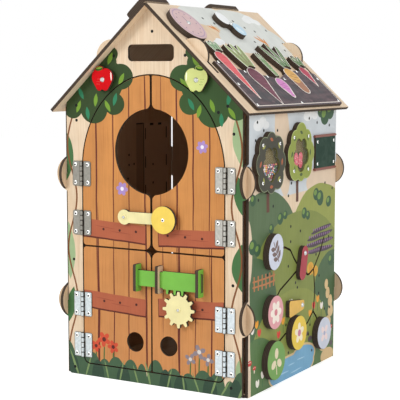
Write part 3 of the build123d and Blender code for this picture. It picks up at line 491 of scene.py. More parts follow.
def innerPanelPrint(tree, spot, bare):
    plan = innerPanel
    (u, v), (wide, tall), line = plan["middle"], plan["half"], plan["lineWide"]
    (returnU, returnV), (returnWide, returnTall) = plan["returnAt"], plan["returnHalf"]
    lines = [("box", u + wide, v, line, tall, 0), ("box", returnU, returnV + returnTall, returnWide, line, 0)]
    return inkAll(tree, bare, [
        (spot, plan["return"], [("box", returnU, returnV, returnWide, returnTall, 0)]),
        (spot, plan["face"], [("box", u, v, wide, tall, 0)]), (spot, plan["line"], lines),
        (spot, plan["slot"], shapesOf("box", plan["slots"], 0) + dots(plan["holes"], plan["holeRadius"])),
    ])


# the browner tint of the inner faces is painted shade
roomShadeTint = birch["inside"]
dress(sheetMaterial("birchPlyUvPrintedFront", "front", frontPanelPrint, inside=roomShadeTint), "front_panel")
dress(sheetMaterial("birchPlyUvPrintedPlanks", "front", doorPrint, inside=roomShadeTint),
      *["door_" + leaf for leaf in leafBodies])
dress(sheetMaterial("birchPlyBareBack", "back", inside=roomShadeTint), "back_panel")
dress(sheetMaterial("birchPlyBareLeft", "left", inside=roomShadeTint, insidePrint=innerPanelPrint), "left_wall")
dress(sheetMaterial("birchPlyBareBase", "top"), "base_panel")
dress(sheetMaterial("birchPlyBareLeftRoof", "leftRoof"), "left_roof", "left_roof_plaques")
print("front, doors and bare sheets dressed")

# Own landscape on the right wall: sky, round hills, a pond, lavender rows, a fence, tulips and a sandy path
landscape = {
    "wobble": (60, 2.5), "sky": "#CDD3D7", "skyBox": (0, 420, 190, 80, 0),
    "peach": "#DFC9B0", "glows": [(-52, 430, 30, 92, 8), (-150, 368, 60, 34, 0), (128, 358, 80, 34, 4)],
    "margin": [("box", -188, 150, 12, 160, 2), ("oval", -186, 250, 18, 60, 0), ("oval", -190, 40, 16, 60, 0)],
    "cloud": "#E6E8E8", "cloudForm": ("oval", 0, 0, 1, 0.55, 0),
    "clouds": [(-148, 470, 18), (-132, 475, 15), (-118, 469, 12), (52, 480, 18), (68, 485, 15),
               (82, 479, 12)],
    "hills": [  # colour, then u, v, half width, half height of each hill
        ("#566B4A", [(-120, 250, 130, 104)]),
        ("#949B50", [(110, 250, 130, 100)]),
        ("#808A47", [(20, 190, 190, 116)]),
        ("#4B6443", [(-168, 150, 96, 92), (168, 128, 84, 88)]),
        ("#8A924A", [(-10, 60, 160, 104)]),
        ("#577447", [(-150, 6, 96, 92), (120, 4, 92, 60)]),
    ],
    "lavender": "#4A3E48", "floret": "#8E6A93", "floretFrom": 10, "floretStep": 9, "floretHalf": (2.2, 2.6),
    "lavenderRows": [(118, 262, 46, 4.2, 6), (112, 250, 58, 4.6, 4), (110, 237, 64, 5.0, 2),
                     (112, 223, 60, 5.2, 0)],
    "pond": "#78ABCB", "ponds": [(-6, 14, 92, 26), (40, 27, 50, 22)], "bank": (5, 4), "pondLight": "#A5CBE2",
    "ripples": [(-40, 14, 22, 1.4), (10, 8, 26, 1.4), (30, 27, 18, 1.3), (-10, 24, 15, 1.2)],
    "sand": "#D9BC8C",
    "pathOvals": [(150, 8, 30, 16), (132, 34, 20, 14), (136, 56, 16, 13), (152, 74, 14, 12),
                  (164, 94, 12, 12), (162, 114, 10, 12), (150, 132, 9, 11), (143, 150, 8, 10)],
    "trunk": "#5E3A2C", "trunks": [(-110, 336, 5.5, 20), (8, 346, 5.5, 22)],
    "bush": "#38563C", "bushForm": ("oval", 0, 0, 1, 0.9, 0),
    "bushLight": "#74914A", "bushLightForm": ("oval", -0.25, 0.25, 0.5, 0.4, 20),
    "bushes": [(-166, 262, 15), (-148, 254, 12), (92, 330, 13), (110, 322, 16), (150, 312, 12),
               (-166, 342, 11), (40, 300, 11), (56, 294, 9), (-60, 300, 12), (-40, 304, 9),
               (162, 196, 13), (-96, 286, 10), (128, 478, 20), (152, 486, 18), (108, 488, 14)],
    "fence": "#B5764A", "fenceAt": (-160, 196), "fencePosts": 6, "fenceStep": 15, "postHalf": (2.2, 13),
    "postTurns": (3, 1, -1), "railRises": (5, -5), "railPast": 6, "railHalf": 1.5,
    "hay": "#D9A441", "stacks": [(70, 192, 15, 12), (92, 184, 12, 10)],
    "straw": "#B9802F", "strawStep": 5, "strawShare": 0.7, "strawHalf": 0.8, "strawFan": 14,
    "cap": "#C8403F", "capForm": ("oval", 0, 0, 1, 0.62, 0),
    "stalk": "#EBDCC4", "stalkForm": ("oval", 0, -0.7, 0.36, 0.9, 0),
    "capDots": [("oval", k, 0.15, 0.16, 0.14, 0) for k in (-0.45, 0.05, 0.5)],
    "mushrooms": [(-176, 60, 8), (-158, 48, 6), (-104, 66, 7), (168, 62, 6)],
    "stem": "#3C6B3F", "stemForm": ("box", 0, -13, 1.0, 10, 0),
    "tulipForm": [("oval", -3, 0, 3.6, 6.5, 14), ("oval", 3, 0, 3.6, 6.5, -14), ("oval", 0, -2, 4.5, 5.5, 0)],
    "tulips": [  # colour, then u, v and size of each flower
        ("#D9483F", [(-64, 90, 1), (-140, 108, 1), (-30, 128, 1), (86, 118, 1)]),
        ("#E9A13B", [(-150, 124, 1), (-46, 112, 1), (104, 128, 1), (70, 106, 1)]),
        ("#F1EAE0", [(-166, 116, 1), (-14, 140, 1), (122, 112, 1), (-126, 30, 1), (-146, 18, 1)]),
    ],
    "stone": "#5A5054",
    "stones": [(70, 56, 9, 5), (58, 68, 7, 4), (-88, 36, 9, 5), (-98, 26, 7, 4), (168, 30, 8, 5)],
    "olive": "#77683A", "paneGround": 38,
    "holes": [(-151, 475), (-127, 460), (-157, 444), (-74, 458), (58, 475), (93, 466), (149, 459), (-16, 360),
              (-28, 338), (-146, 341), (-89, 325), (132, 349), (166, 336), (-17, 281), (24, 268), (-17, 253),
              (-26, 209), (-110, 205), (5, 174), (13, 164), (94, 215), (109, 172), (108, 138), (152, 243),
              (135, 103), (160, 102), (-34, 102), (63, 66), (70, 83), (79, 32), (-23, 48)],
}


def rightWallPrint(tree, spot, wood):
    plan, step = landscape, landscape["floretStep"]
    florets = [("oval", u - half + plan["floretFrom"] + step * k, v + 1, *plan["floretHalf"], 0)
               for u, v, half, *_ in plan["lavenderRows"] for k in range(int(2 * half / step) - 1)]
    banks = [(u, v, wide + plan["bank"][0], tall + plan["bank"][1]) for u, v, wide, tall in plan["ponds"]]
    (fenceU, fenceV), run = plan["fenceAt"], plan["fenceStep"] * (plan["fencePosts"] - 1)
    fence = [("box", fenceU + k * plan["fenceStep"], fenceV, *plan["postHalf"], plan["postTurns"][k % 3])
             for k in range(plan["fencePosts"])]
    fence += [("box", fenceU + run / 2, fenceV + rise, run / 2 + plan["railPast"], plan["railHalf"], 1)
              for rise in plan["railRises"]]
    straw = [("leaf", u + k * plan["strawStep"], v + 1, tall * plan["strawShare"], plan["strawHalf"],
              90 - k * plan["strawFan"]) for u, v, _, tall in plan["stacks"] for k in (-1, 0, 1)]
    panes = [middleOf(name, "right") for name in ("tree_pane_dark", "tree_pane_light")]
    loose = looseSpot(tree, spot, *plan["wobble"])
    layers = [
        (loose, plan["sky"], [("box", *plan["skyBox"])]),
        (loose, plan["peach"], shapesOf("oval", plan["glows"])),
        (loose, plan["cloud"], grown(plan["clouds"], plan["cloudForm"])),
        *[(loose, tone, shapesOf("oval", hills, 0)) for tone, hills in plan["hills"]],
        (loose, plan["lavender"], shapesOf("oval", plan["lavenderRows"])), (spot, plan["floret"], florets),
        (loose, plan["peach"], plan["margin"]),
        (loose, plan["sand"], shapesOf("oval", plan["pathOvals"] + banks, 0)),
        (loose, plan["pond"], shapesOf("oval", plan["ponds"], 0)),
        (loose, plan["pondLight"], shapesOf("leaf", plan["ripples"], 0)),
        (loose, plan["trunk"], shapesOf("box", plan["trunks"], 0)),
        (loose, plan["bush"], grown(plan["bushes"], plan["bushForm"])),
        (loose, plan["bushLight"], grown(plan["bushes"], plan["bushLightForm"])),
        (loose, plan["fence"], fence),
        (loose, plan["hay"], shapesOf("oval", plan["stacks"], 0)), (loose, plan["straw"], straw),
        (spot, plan["stalk"], grown(plan["mushrooms"], plan["stalkForm"])),
        (spot, plan["cap"], grown(plan["mushrooms"], plan["capForm"])),
        (spot, plan["stalk"], grown(plan["mushrooms"], *plan["capDots"])),
        (loose, plan["stem"], grown([at for _, places in plan["tulips"] for at in places], plan["stemForm"])),
        *[(spot, tone, grown(places, *plan["tulipForm"])) for tone, places in plan["tulips"]],
        (loose, plan["stone"], shapesOf("oval", plan["stones"], 0)),
        (spot, plan["olive"], dots(panes, plan["paneGround"])),
        # drilled holes as black dots of painted shade
        (spot, drillHoleShade["hole"], dots(plan["holes"], drillHoleShade["radius"])),
    ]
    away = add(tree, "VectorMath", {0: spot, 1: (1, 0, 0)}, "Value", operation="DOT_PRODUCT")
    away = add(tree, "Math", {0: away}, operation="ABSOLUTE")
    isEar = add(tree, "Math", {0: away, 1: panelOut}, operation="GREATER_THAN")
    return add(tree, "MixRGB", {"Fac": isEar, "Color1": inkAll(tree, wood, layers), "Color2": wood})


dress(sheetMaterial("birchPlyUvPrintedLandscape", "right", rightWallPrint, inside=roomShadeTint), "right_wall")

# Sky on the right roof slope, with drilled holes as dots of painted shade; u runs back and v down the slope
# from the ridge
roofSky = {
    "wobble": (50, 3.0),
    "sky": "#DADDD8", "patches": [(-40, 28, 84, 30), (72, 56, 104, 50), (150, 96, 52, 44), (16, 96, 74, 34)],
    "cloud": "#EDEFEE", "cloudForm": ("oval", 0, 0, 1, 0.6, 0),
    "clouds": [(120, 34, 15), (138, 30, 19), (158, 37, 14), (-84, 104, 12), (-70, 100, 15)],
    "sprig": "#D98B45", "sprigs": [(96, 92, 16, 3.2, 40), (106, 92, 16, 3.2, 75), (112, 100, 16, 3.2, 110),
                                   (-52, 62, 13, 2.8, 30), (-44, 64, 13, 2.8, 70)],
    "holes": [(-54, 37), (-28, 50), (59, 39), (83, 56), (111, 66), (166, 61), (-37, 115), (68, 97),
              (165, 119)],
}


def rightRoofPrint(tree, spot, wood):
    plan, loose = roofSky, looseSpot(tree, spot, *roofSky["wobble"])
    return inkAll(tree, wood, [
        (loose, plan["sky"], shapesOf("oval", plan["patches"], 0)),
        (loose, plan["cloud"], grown(plan["clouds"], plan["cloudForm"])),
        (loose, plan["sprig"], shapesOf("leaf", plan["sprigs"])),
        (spot, drillHoleShade["hole"], dots(plan["holes"], drillHoleShade["radius"])),
    ])


dress(sheetMaterial("birchPlyUvPrintedSky", "rightRoof", rightRoofPrint), "right_roof")
print("right wall and roof dressed")

# Garden soil panel: brown print with dry brush marks, cold smudges and a pale cut line round it
soil = {
    "moist": "#3F353B", "earth": "#54454A", "dry": "#665357", "brush": (46, 13),
    "earthSpan": (0.35, 0.55), "drySpan": (0.55, 0.72),
    "cold": "#45484B", "smudge": (40, 40), "coldSpan": (0.5, 0.68), "coldShow": (0.0, 0.8),
    "line": "#E9DFD6", "pebbleTurn": 8,
    "lines": [(0, 270.5, 174, 0.9), (-173.5, 218, 0.9, 53), (173.5, 230, 0.9, 41)],
    "pebbles": [(-100, 262, 5, 2.4), (52, 264, 6, 2.6), (112, 252, 5, 2.2), (30, 240, 4, 2)],
}


def soilPrint(tree, spot, wood):
    colour = linear(soil["moist"])
    for tone, marks in (
        ("earth", streaks(tree, spot, soil["brush"], soil["earthSpan"], Detail=3.0)),
        ("dry", streaks(tree, spot, soil["brush"], soil["drySpan"], Detail=3.0)),
        ("cold", streaks(tree, spot, soil["smudge"], soil["coldSpan"], soil["coldShow"],
                         Detail=3.0, Distortion=0.8)),
    ):
        colour = add(tree, "MixRGB", {"Fac": marks, "Color1": colour, "Color2": linear(soil[tone])})
    return inkAll(tree, colour, [(spot, soil["dry"], shapesOf("oval", soil["pebbles"], soil["pebbleTurn"])),
                                 (spot, soil["line"], shapesOf("box", soil["lines"], 0))])


dress(sheetMaterial("birchPlyUvPrintedSoil", "rightRoof", soilPrint), "soil_panel")

# Vegetables: u, crown and tip down the slope, girth, end share, leaf reach, leaf half width and fan of leaves
vegetables = {
    "carrot": {"u": -137.1, "crown": 152, "tip": 252, "girth": 19, "end": 0.126,
               "reach": 42, "wide": 8, "fan": 21,
               "skin": "#E0666B", "root": "#E0666B", "stripe": "#C94F57",
               "leaf": "#86A984", "deep": "#6C8D6A", "rib": "#DCE5C4"},
    "beet": {"u": -73, "crown": 200, "tip": 270, "girth": 25, "end": 0.064,
             "reach": 84, "wide": 10, "fan": 16,
             "skin": "#6E3D4C", "root": "#6E3D4C", "stripe": "#8B4A60",
             "leaf": "#A9BE86", "deep": "#8CA268", "rib": "#8A4A5C"},
    "onion": {"u": -2, "crown": 221, "tip": 247, "girth": 19, "end": 0.42,
              "reach": 82, "wide": 5, "fan": 6,
              "skin": "#D68CC6", "root": "#D68CC6", "stripe": "#A8519A",
              "leaf": "#6F9364", "deep": "#52764B", "rib": "#A8C08A"},
    "turnip": {"u": 72, "crown": 197, "tip": 229, "girth": 22, "end": 0.77,
               "reach": 86, "wide": 8.5, "fan": 24,
               "skin": "#DDAD62", "root": "#A8775C", "stripe": "#8F6248",
               "leaf": "#5F8258", "deep": "#466543", "rib": "#C5D2A4"},
    "radish": {"u": 142, "crown": 188, "tip": 226, "girth": 16, "end": 0.125,
               "reach": 44, "wide": 7, "fan": 24,
               "skin": "#B8475C", "root": "#B8475C", "stripe": "#98364A",
               "leaf": "#57794F", "deep": "#41603C", "rib": "#A9BE86"},
}
vegetableLine = {"white": "#F0E9E0", "wide": 2.0, "sheet": (80, 160), "leastEnd": 0.02, "leastTip": 0.3}
veins = {"deepShift": 1.6, "deepLong": 0.44, "deepWide": 0.5, "ribLong": 0.46, "ribHalf": 0.9,
         "sideAt": 0.36, "sideDrop": 4, "sideStep": 9, "sideLong": 0.55, "sideHalf": 0.6, "sideTurn": 34}
stripe = {"at": 0.3, "rise": 4, "long": 0.42, "half": 0.8, "turn": 8,
          "shares": (0.02, 0.16, 0.3, 0.44, 0.58)}


def vegetablePrint(plan):
    line, girth, reach, wide = vegetableLine["wide"], plan["girth"], plan["reach"], plan["wide"]
    u, crown, run = plan["u"], plan["crown"], plan["tip"] - plan["crown"]
    fans = []  # middle and turn of each leaf
    for step in (-1, 0, 1):
        turn = math.radians(step * plan["fan"])
        fans.append((u + math.sin(turn) * reach / 2, crown - math.cos(turn) * reach / 2,
                     90 + step * plan["fan"]))
    deep = [("leaf", x + veins["deepShift"], y, reach * veins["deepLong"], wide * veins["deepWide"], turn)
            for x, y, turn in fans]
    ribs = [("leaf", x, y, reach * veins["ribLong"], veins["ribHalf"], turn) for x, y, turn in fans]
    ribs += [("leaf", x + k * wide * veins["sideAt"], y - veins["sideDrop"] + veins["sideStep"] * k,
              wide * veins["sideLong"], veins["sideHalf"], turn - veins["sideTurn"] * k)
             for x, y, turn in fans for k in (-1, 1)]
    slim = girth - line
    end = max(vegetableLine["leastEnd"], (plan["end"] * girth - line) / slim)
    tip = dots([(u, plan["tip"])], max(vegetableLine["leastTip"], slim * end))
    stripes = [("leaf", u + girth * stripe["at"] * (1 - 2 * (k % 2)), crown - stripe["rise"] + run * share,
                girth * stripe["long"], stripe["half"], stripe["turn"])
               for k, share in enumerate(stripe["shares"])]
    layers = [
        (vegetableLine["white"], [("box", u, crown, *vegetableLine["sheet"], 0)]),
        (plan["leaf"], [("oval", x, y, reach / 2 - line, wide - line, turn) for x, y, turn in fans]),
        (plan["deep"], deep), (plan["rib"], ribs),
        (vegetableLine["white"],
         dots([(u, crown)], girth) + [("taper", u, crown, girth, run, 0, plan["end"])]),
        (plan["root"], [("taper", u, crown, slim, run - line, 0, end)] + tip),
        (plan["skin"], dots([(u, crown)], slim)), (plan["stripe"], stripes),
    ]

    def printFace(tree, spot, wood):
        return inkAll(tree, wood, [(spot, *layer) for layer in layers])
    return printFace


for name, plan in vegetables.items():
    dress(sheetMaterial("birchPlyUvPrinted" + name.capitalize(), "rightRoof", vegetablePrint(plan)), name)
print("soil and vegetables dressed")

sprayCoat = {"cloud": (18, 18), "finish": {"roughness": 0.4, "grainShow": 0.03, "shine": 0.3}}


def paintPrint(hexColour, motifs=(), cloudy=0.05):
    # an even sprayed coat with slight clouding, then motifs of one colour each
    def printFace(tree, spot, wood):
        shade = streaks(tree, spot, sprayCoat["cloud"], softSpan, (1.0, 1.0 - cloudy), Detail=2.0)
        colour = add(tree, "MixRGB", {"Fac": 1.0, "Color1": linear(hexColour), "Color2": shade},
                     blend_type="MULTIPLY")
        return inkAll(tree, colour, [(spot, *motif) for motif in motifs])
    return printFace


def sprayed(name, face, hexColour, motifs=(), **finish):
    return sheetMaterial(name, face, paintPrint(hexColour, motifs), **{**sprayCoat["finish"], **finish})


def placed(motifs, at):
    return [(tone, moved(shapes, at)) for tone, shapes in motifs]


def titled(name):
    return name.title().replace("_", "")


# Painted wooden hardware of the doors
hardware = {"cream": "#F0E6AB", "yellow": "#F2D25C", "lime": "#76B946"}
dress(sprayed("plySprayedCream", "front", hardware["cream"]), "latch_bar", "pinion")
dress(sprayed("plySprayedYellow", "front", hardware["yellow"], roughness=0.38), "latch_knob")
dress(sprayed("plySprayedLime", "front", hardware["lime"]), "bolt")
dress(sprayed("plySprayedLimePlate", "right", hardware["lime"]), "bolt_keeper", "bolt_guide_outer")
dress(sheetMaterial("birchPlyBareGuide", "right"), "bolt_guide_inner")

# Apples: enamel-bright print, a shine stripe, freckles and a two-tone leaf
apples = {
    "red_apple": {
        "skin": "#D01219", "shine": "#FBE9E2", "freckle": "#E8695F", "shade": "#A8151B", "side": -1,
    },
    "green_apple": {
        "skin": "#D3DA8C", "shine": "#F6F8DC", "freckle": "#6E8B3A", "shade": "#BAC670", "side": 1,
    },
}
appleLeaf = {"dark": "#33561F", "light": "#86A540"}
appleForm = {  # drawn for the green apple and mirrored for the red one
    "shade": ("oval", 0, -16, 15, 6, 0), "skin": ("oval", 0, -9, 17, 10, 0),
    "shine": ("oval", -19, 6, 1.4, 7.5, -4),
    "dark": ("oval", 7, 19.5, 8.2, 3.8, -8), "light": ("leaf", 7, 20.7, 7.0, 1.9, -8),
}
freckle = {"from": (7, -8), "step": (2.6, 4.6), "lean": 1.2, "radius": 0.6, "rows": 3}
for name, plan in apples.items():
    spin, side, tones = joints[name + "_turn"]["pos_m"], plan["side"], {**plan, **appleLeaf}
    (fromU, fromV), (stepU, stepV) = freckle["from"], freckle["step"]
    freckles = [(side * (fromU + stepU * k) + freckle["lean"] * row, fromV + stepV * row)
                for row in range(freckle["rows"]) for k in range(freckle["rows"])]
    motifs = [(tones[part], [(kind, side * u, v, wide, tall, side * turn)])
              for part, (kind, u, v, wide, tall, turn) in appleForm.items()]
    motifs.append((plan["freckle"], dots(freckles, freckle["radius"])))
    motifs = placed(motifs, (spin[0] / mm, spin[2] / mm))
    dress(sprayed("plyPrinted" + titled(name), "front", plan["skin"], motifs,
                  roughness=0.3, grainShow=0.02, shine=0.05), name)

# Right wall pieces: tree frames, discs with a sprig, blossom or clover of the maker's own, and covers
trees = {
    "tree_frame_dark": {
        "leaf": "#403F33", "line": "#7F8A6A", "fruit": ["#A85F3F", "#9A9A4E"], "hollow": "#6F6C40",
        "at": (-114, 403), "ring": 35, "lobe": 22, "shares": (0.85, 1.05, 0.95, 1.0, 0.9, 1.0, 1.0, 1.1),
    },
    "tree_frame_light": {
        "leaf": "#8F9A48", "line": "#B4C178", "fruit": ["#4A5A32", "#5F7039"], "hollow": "#7A7E45",
        "at": (6, 413), "ring": 32.5, "lobe": 23, "shares": (0.8, 1.05, 1.0, 0.9, 1.05, 0.9, 1.0, 1.1),
    },
}
treeLook = {"line": 1.4, "hollow": 37, "past": 4, "cloudy": 0.12,
            "fruitReach": 1.18, "fruitHalf": (6.5, 3.0), "fruitTurn": 40}


def lobePlaces(plan):  # places of a tree's lobes round its middle, the first one at the foot
    turns = [math.radians(360 / len(plan["shares"]) * k - 90) for k in range(len(plan["shares"]))]
    return [(plan["ring"] * math.cos(turn), plan["ring"] * math.sin(turn)) for turn in turns]


def hollowPrint(plan):  # the cut round the window is painted like its ground
    def edgePrint(tree, spot, edge):
        return ink(tree, spot, edge, plan["hollow"], dots([plan["at"]], treeLook["hollow"]))
    return edgePrint


for name, plan in trees.items():
    places, reach = lobePlaces(plan), treeLook["fruitReach"]
    radii = [share * plan["lobe"] - treeLook["line"] for share in plan["shares"]]
    inner = [shape for at, radius in zip(places, radii) for shape in dots([at], radius)]
    inner += dots([(0, 0)], plan["ring"] + treeLook["past"])
    fruit = [("leaf", u * reach, v * reach, *treeLook["fruitHalf"], treeLook["fruitTurn"] * k)
             for k, (u, v) in enumerate(places)]
    motifs = [(plan["leaf"], inner)] + [(tone, fruit[k::2]) for k, tone in enumerate(plan["fruit"])]
    paint = paintPrint(plan["line"], placed(motifs, plan["at"]), treeLook["cloudy"])
    dress(sheetMaterial("plyPrinted" + titled(name), "right", paint, hollowPrint(plan)), name)


twig = {"stem": 0.06, "pairs": (-0.5, 0.0, 0.5), "out": 0.38, "long": 0.42, "wide": 0.2, "tilt": 35}


def sprig(size, turn):  # a twig with leaves in pairs, in shares of its size
    tilt, out = math.radians(turn), size * twig["out"]
    shapes = [("box", 0, 0, size * twig["stem"], size, turn)]
    for k in twig["pairs"]:
        for side in (-1, 1):
            u = -math.sin(tilt) * size * k + side * math.cos(tilt) * out
            v = math.cos(tilt) * size * k + side * math.sin(tilt) * out
            lean = turn + side * twig["tilt"]
            shapes.append(("leaf", u, v, size * twig["long"], size * twig["wide"], lean))
    return shapes


middle = [(0, 0)]
discs = {
    "oval_slider": ("#CED3E2", [("#6B5550", sprig(21, 28))]),
    "pink_slider": ("#DF9DA2", [("#EFE3D6", blossom(22, 6)), ("#CE7B85", dots(middle, 6))]),
    "yellow_slider": ("#E6C53C", [("#F1E6C8", blossom(20, 5, 20)), ("#C67890", dots(middle, 6.5))]),
    "white_slider": ("#CBD0DE", [("#EBD6D4", blossom(19, 4, 45)), ("#A9ACC8", dots(middle, 4.5))]),
    "green_slider": ("#699A44", [("#E3D5B4", blossom(23, 3, 90) + [("box", 0, -17, 1.3, 9, 8)])]),
}
for name, (coat, motifs) in discs.items():
    motifs = placed(motifs, middleOf(name, "right"))
    dress(sprayed("plyPrinted" + titled(name), "right", coat, motifs, roughness=0.42), name)
    dress(sheetMaterial("birchPlyBarePeg" + name.split("_")[0].title(), "right"), name + "_peg")
dress(sprayed("plySprayedRed", "right", "#A5303B", shine=0.2), "red_cover")
dress(sprayed("plySprayedAmber", "right", "#DFB04A"), "yellow_cover")

# Roof pieces: the dial with a ring, hour marks and a hand, the cloud in white and pale blue halves
dial = {"coat": "#CFB0B0", "ring": "#B195AB", "ringOut": 36, "ringIn": 33.5, "mark": "#836984", "marks": 12,
        "marksAt": 27, "markRadius": 1.6, "hand": ("box", 0, -9, 0.9, 9, 0)}
turns, reach = [2 * math.pi * k / dial["marks"] for k in range(dial["marks"])], dial["marksAt"]
marks = dots([(math.cos(a) * reach, math.sin(a) * reach) for a in turns], dial["markRadius"])
cloud = {"coat": "#EEF0F1", "blue": "#B9D6E8", "half": (13.3, 14.9, 19, 19, 0), "glint": "#D3E6F0",
         "glintAt": (12, 17, 10, 7, 40)}
roofMotifs = {
    "dial": (dial["coat"], [(dial["ring"], dots(middle, dial["ringOut"])),
                            (dial["coat"], dots(middle, dial["ringIn"])),
                            (dial["mark"], marks + [dial["hand"]])]),
    "cloud": (cloud["coat"], [(cloud["blue"], [("oval", *cloud["half"])]),
                              (cloud["glint"], [("oval", *cloud["glintAt"])])]),
}
for name, (coat, motifs) in roofMotifs.items():
    motifs = placed(motifs, middleOf("roof_" + name, "rightRoof"))
    dress(sprayed("plyPrinted" + titled(name), "rightRoof", coat, motifs), "roof_" + name)
print("play pieces dressed")

# Zinc-plated pressed steel: a cool grey metal, faintly mottled, with soft broad reflections
zinc = {"metal": "#BABDBC", "spangle": "#B0B3B2", "patch": 5, "roughness": (0.32, 0.42), "metallic": 0.9,
        "relief": 0.1, "bump": 0.03}
steel, tree = newMaterial("steelZincPlated")
patch = mottle(tree, zinc["patch"], softSpan)
colour = add(tree, "MixRGB", {"Fac": patch, "Color1": linear(zinc["metal"]),
                              "Color2": linear(zinc["spangle"])})
rough = add(tree, "MapRange", {0: patch, 3: zinc["roughness"][0], 4: zinc["roughness"][1]})
relief = add(tree, "Bump", {"Strength": zinc["bump"], "Distance": zinc["relief"] * mm, "Height": patch})
finishWith(tree, {"Base Color": colour, "Roughness": rough, "Metallic": zinc["metallic"], "Normal": relief})
dress(steel, "apple_pivots", "cover_pivots", "roof_pivots")

# Nickel-plated screw heads: brighter than the hinges, with a tight shine
nickel = {"metal": "#E9EAE8", "turned": 0.8, "roughness": (0.2, 0.32), "metallic": 0.9}
bright, tree = newMaterial("steelNickelPlatedScrew")
finishWith(tree, {"Base Color": linear(nickel["metal"]), "Metallic": nickel["metallic"],
                  "Roughness": mottle(tree, nickel["turned"], show=nickel["roughness"])})

# Steel pivots sprayed over with their bars: cream enamel, rubbed through to a small bright middle
pivot = {"bare": "#C9CBC9", "bareRadius": 2.3, "ring": "#9C9472", "ringRadius": 3.0, "cloud": 6,
         "roughness": (0.3, 0.45)}
for name in ("latch_pivot", "pinion_axle"):
    enamel, tree = newMaterial("steelSprayedCream" + name.split("_")[0].title())
    spot = faceSpot(tree, add(tree, "TexCoord", output="Object"), "front")[2]
    at = [middleOf(name, "front")]
    colour = inkAll(tree, linear(hardware["cream"]), [(spot, pivot["ring"], dots(at, pivot["ringRadius"])),
                                                      (spot, pivot["bare"], dots(at, pivot["bareRadius"]))])
    rough = mottle(tree, pivot["cloud"], show=pivot["roughness"])
    finishWith(tree, {"Base Color": colour, "Roughness": rough})
    dress(enamel, name)

# Zinc-plated hinges: plates and knuckles in the tone of each door's hinges, with painted shade on their rims
# and in the gaps beside and between the knuckles
hingeSteel, tree = newMaterial("steelZincPlatedHinge")
spot = faceSpot(tree, add(tree, "TexCoord", output="Object"), "front")[2]
halfTall, pitch = hinge["tall"] / 2, hinge["tall"] / hinge["knuckles"]
rows = [k - (hinge["knuckles"] - 1) / 2 for k in range(hinge["knuckles"])]
plateHalf = (hinge["half"] - hinge["notch"]) / 2
plate = (plateHalf - hinge["plateRim"], halfTall - hinge["plateRim"], 0)
knuckle = (hinge["barrel"], pitch / 2 - hinge["knuckleGap"], 0)  # painted shade in the gaps between knuckles, drawn wider than they are, to show
layers = [(spot, hinge["gap"], allHinges(hinge["barrel"] + hinge["rim"], halfTall))]
for leaf, tone in hinge["tones"].items():
    places = hingePlaces(leaf)
    bare = [("box", u + side * (hinge["notch"] + plateHalf), v, *plate)
            for u, v in places for side in (-1, 1)]
    bare += [("box", u, v + row * pitch, *knuckle) for u, v in places for row in rows]
    layers.append((spot, tone, bare))
patch = mottle(tree, hinge["patch"], softSpan, detail=3.0)
dull = add(tree, "MixRGB", {"Fac": patch, "Color1": (1, 1, 1, 1), "Color2": linear(hinge["spangle"])})
colour = inkAll(tree, linear(hinge["edge"]), layers)
colour = add(tree, "MixRGB", {"Fac": 1.0, "Color1": colour, "Color2": dull}, blend_type="MULTIPLY")
rough = add(tree, "MapRange", {0: patch, 3: zinc["roughness"][0], 4: zinc["roughness"][1]})
finishWith(tree, {"Base Color": colour, "Roughness": rough, "Metallic": zinc["metallic"]})
dress(hingeSteel, "frame_hinge_leaves", "hinge_pins",
      *["door_" + leaf + "_hinge_leaves" for leaf in leafBodies])

# Painted shade of the hollow of a screw drive, laid on a flat cross over the head
drive = {"deep": "#1D1D1E", "paleShade": "#343536", "grit": 0.6, "roughness": 0.6, "metallic": 0.6}
recessShade, tree = newMaterial("steelScrewRecessPaintedShade")
colour = add(tree, "MixRGB", {"Fac": mottle(tree, drive["grit"]), "Color1": linear(drive["deep"]),
                              "Color2": linear(drive["paleShade"])})
finishWith(tree, {"Base Color": colour, "Roughness": drive["roughness"], "Metallic": drive["metallic"]})

# Cast acrylic: clear, with a faint cold edge and a sharp shine
clear = {"tone": "#E9EEEC", "haze": 12, "roughness": (0.03, 0.09), "ior": 1.49, "shine": 0.1, "alpha": 0.03}
acrylic, tree = newMaterial("acrylicCastClear")
finishWith(tree, {"Base Color": linear(clear["tone"]), "IOR": clear["ior"], "Alpha": clear["alpha"],
                  "Roughness": mottle(tree, clear["haze"], show=clear["roughness"]),
                  "Specular IOR Level": clear["shine"]})
dress(acrylic, "tree_pane_dark", "tree_pane_light")

# Chalkboard paint: very matt, dusty where chalk was wiped; stained rails above and under it
board = {
    "paint": "#2B4036", "dust": "#4A5C50",
    "smear": (26, 26), "smearSpan": (0.45, 0.8), "smearShow": (0.0, 0.6),
    "rail": "#8A4A38", "railDark": "#6B3527", "railGrain": (1.2, 40, 1.2), "railRelief": 0.2, "railBump": 0.2,
    "railRoughness": 0.45, "railTall": 5, "railOut": 5, "railPast": 4, "railRound": 1.2,
}


def chalkPrint(tree, spot, wood):
    wipe = streaks(tree, spot, board["smear"], board["smearSpan"], board["smearShow"],
                   Detail=4.0, Distortion=1.2)
    return add(tree, "MixRGB", {"Fac": wipe, "Color1": linear(board["paint"]),
                                "Color2": linear(board["dust"])})


dress(sheetMaterial("plyChalkboardPainted", "right", chalkPrint, roughness=0.85, grainShow=0.02),
      "chalkboard")

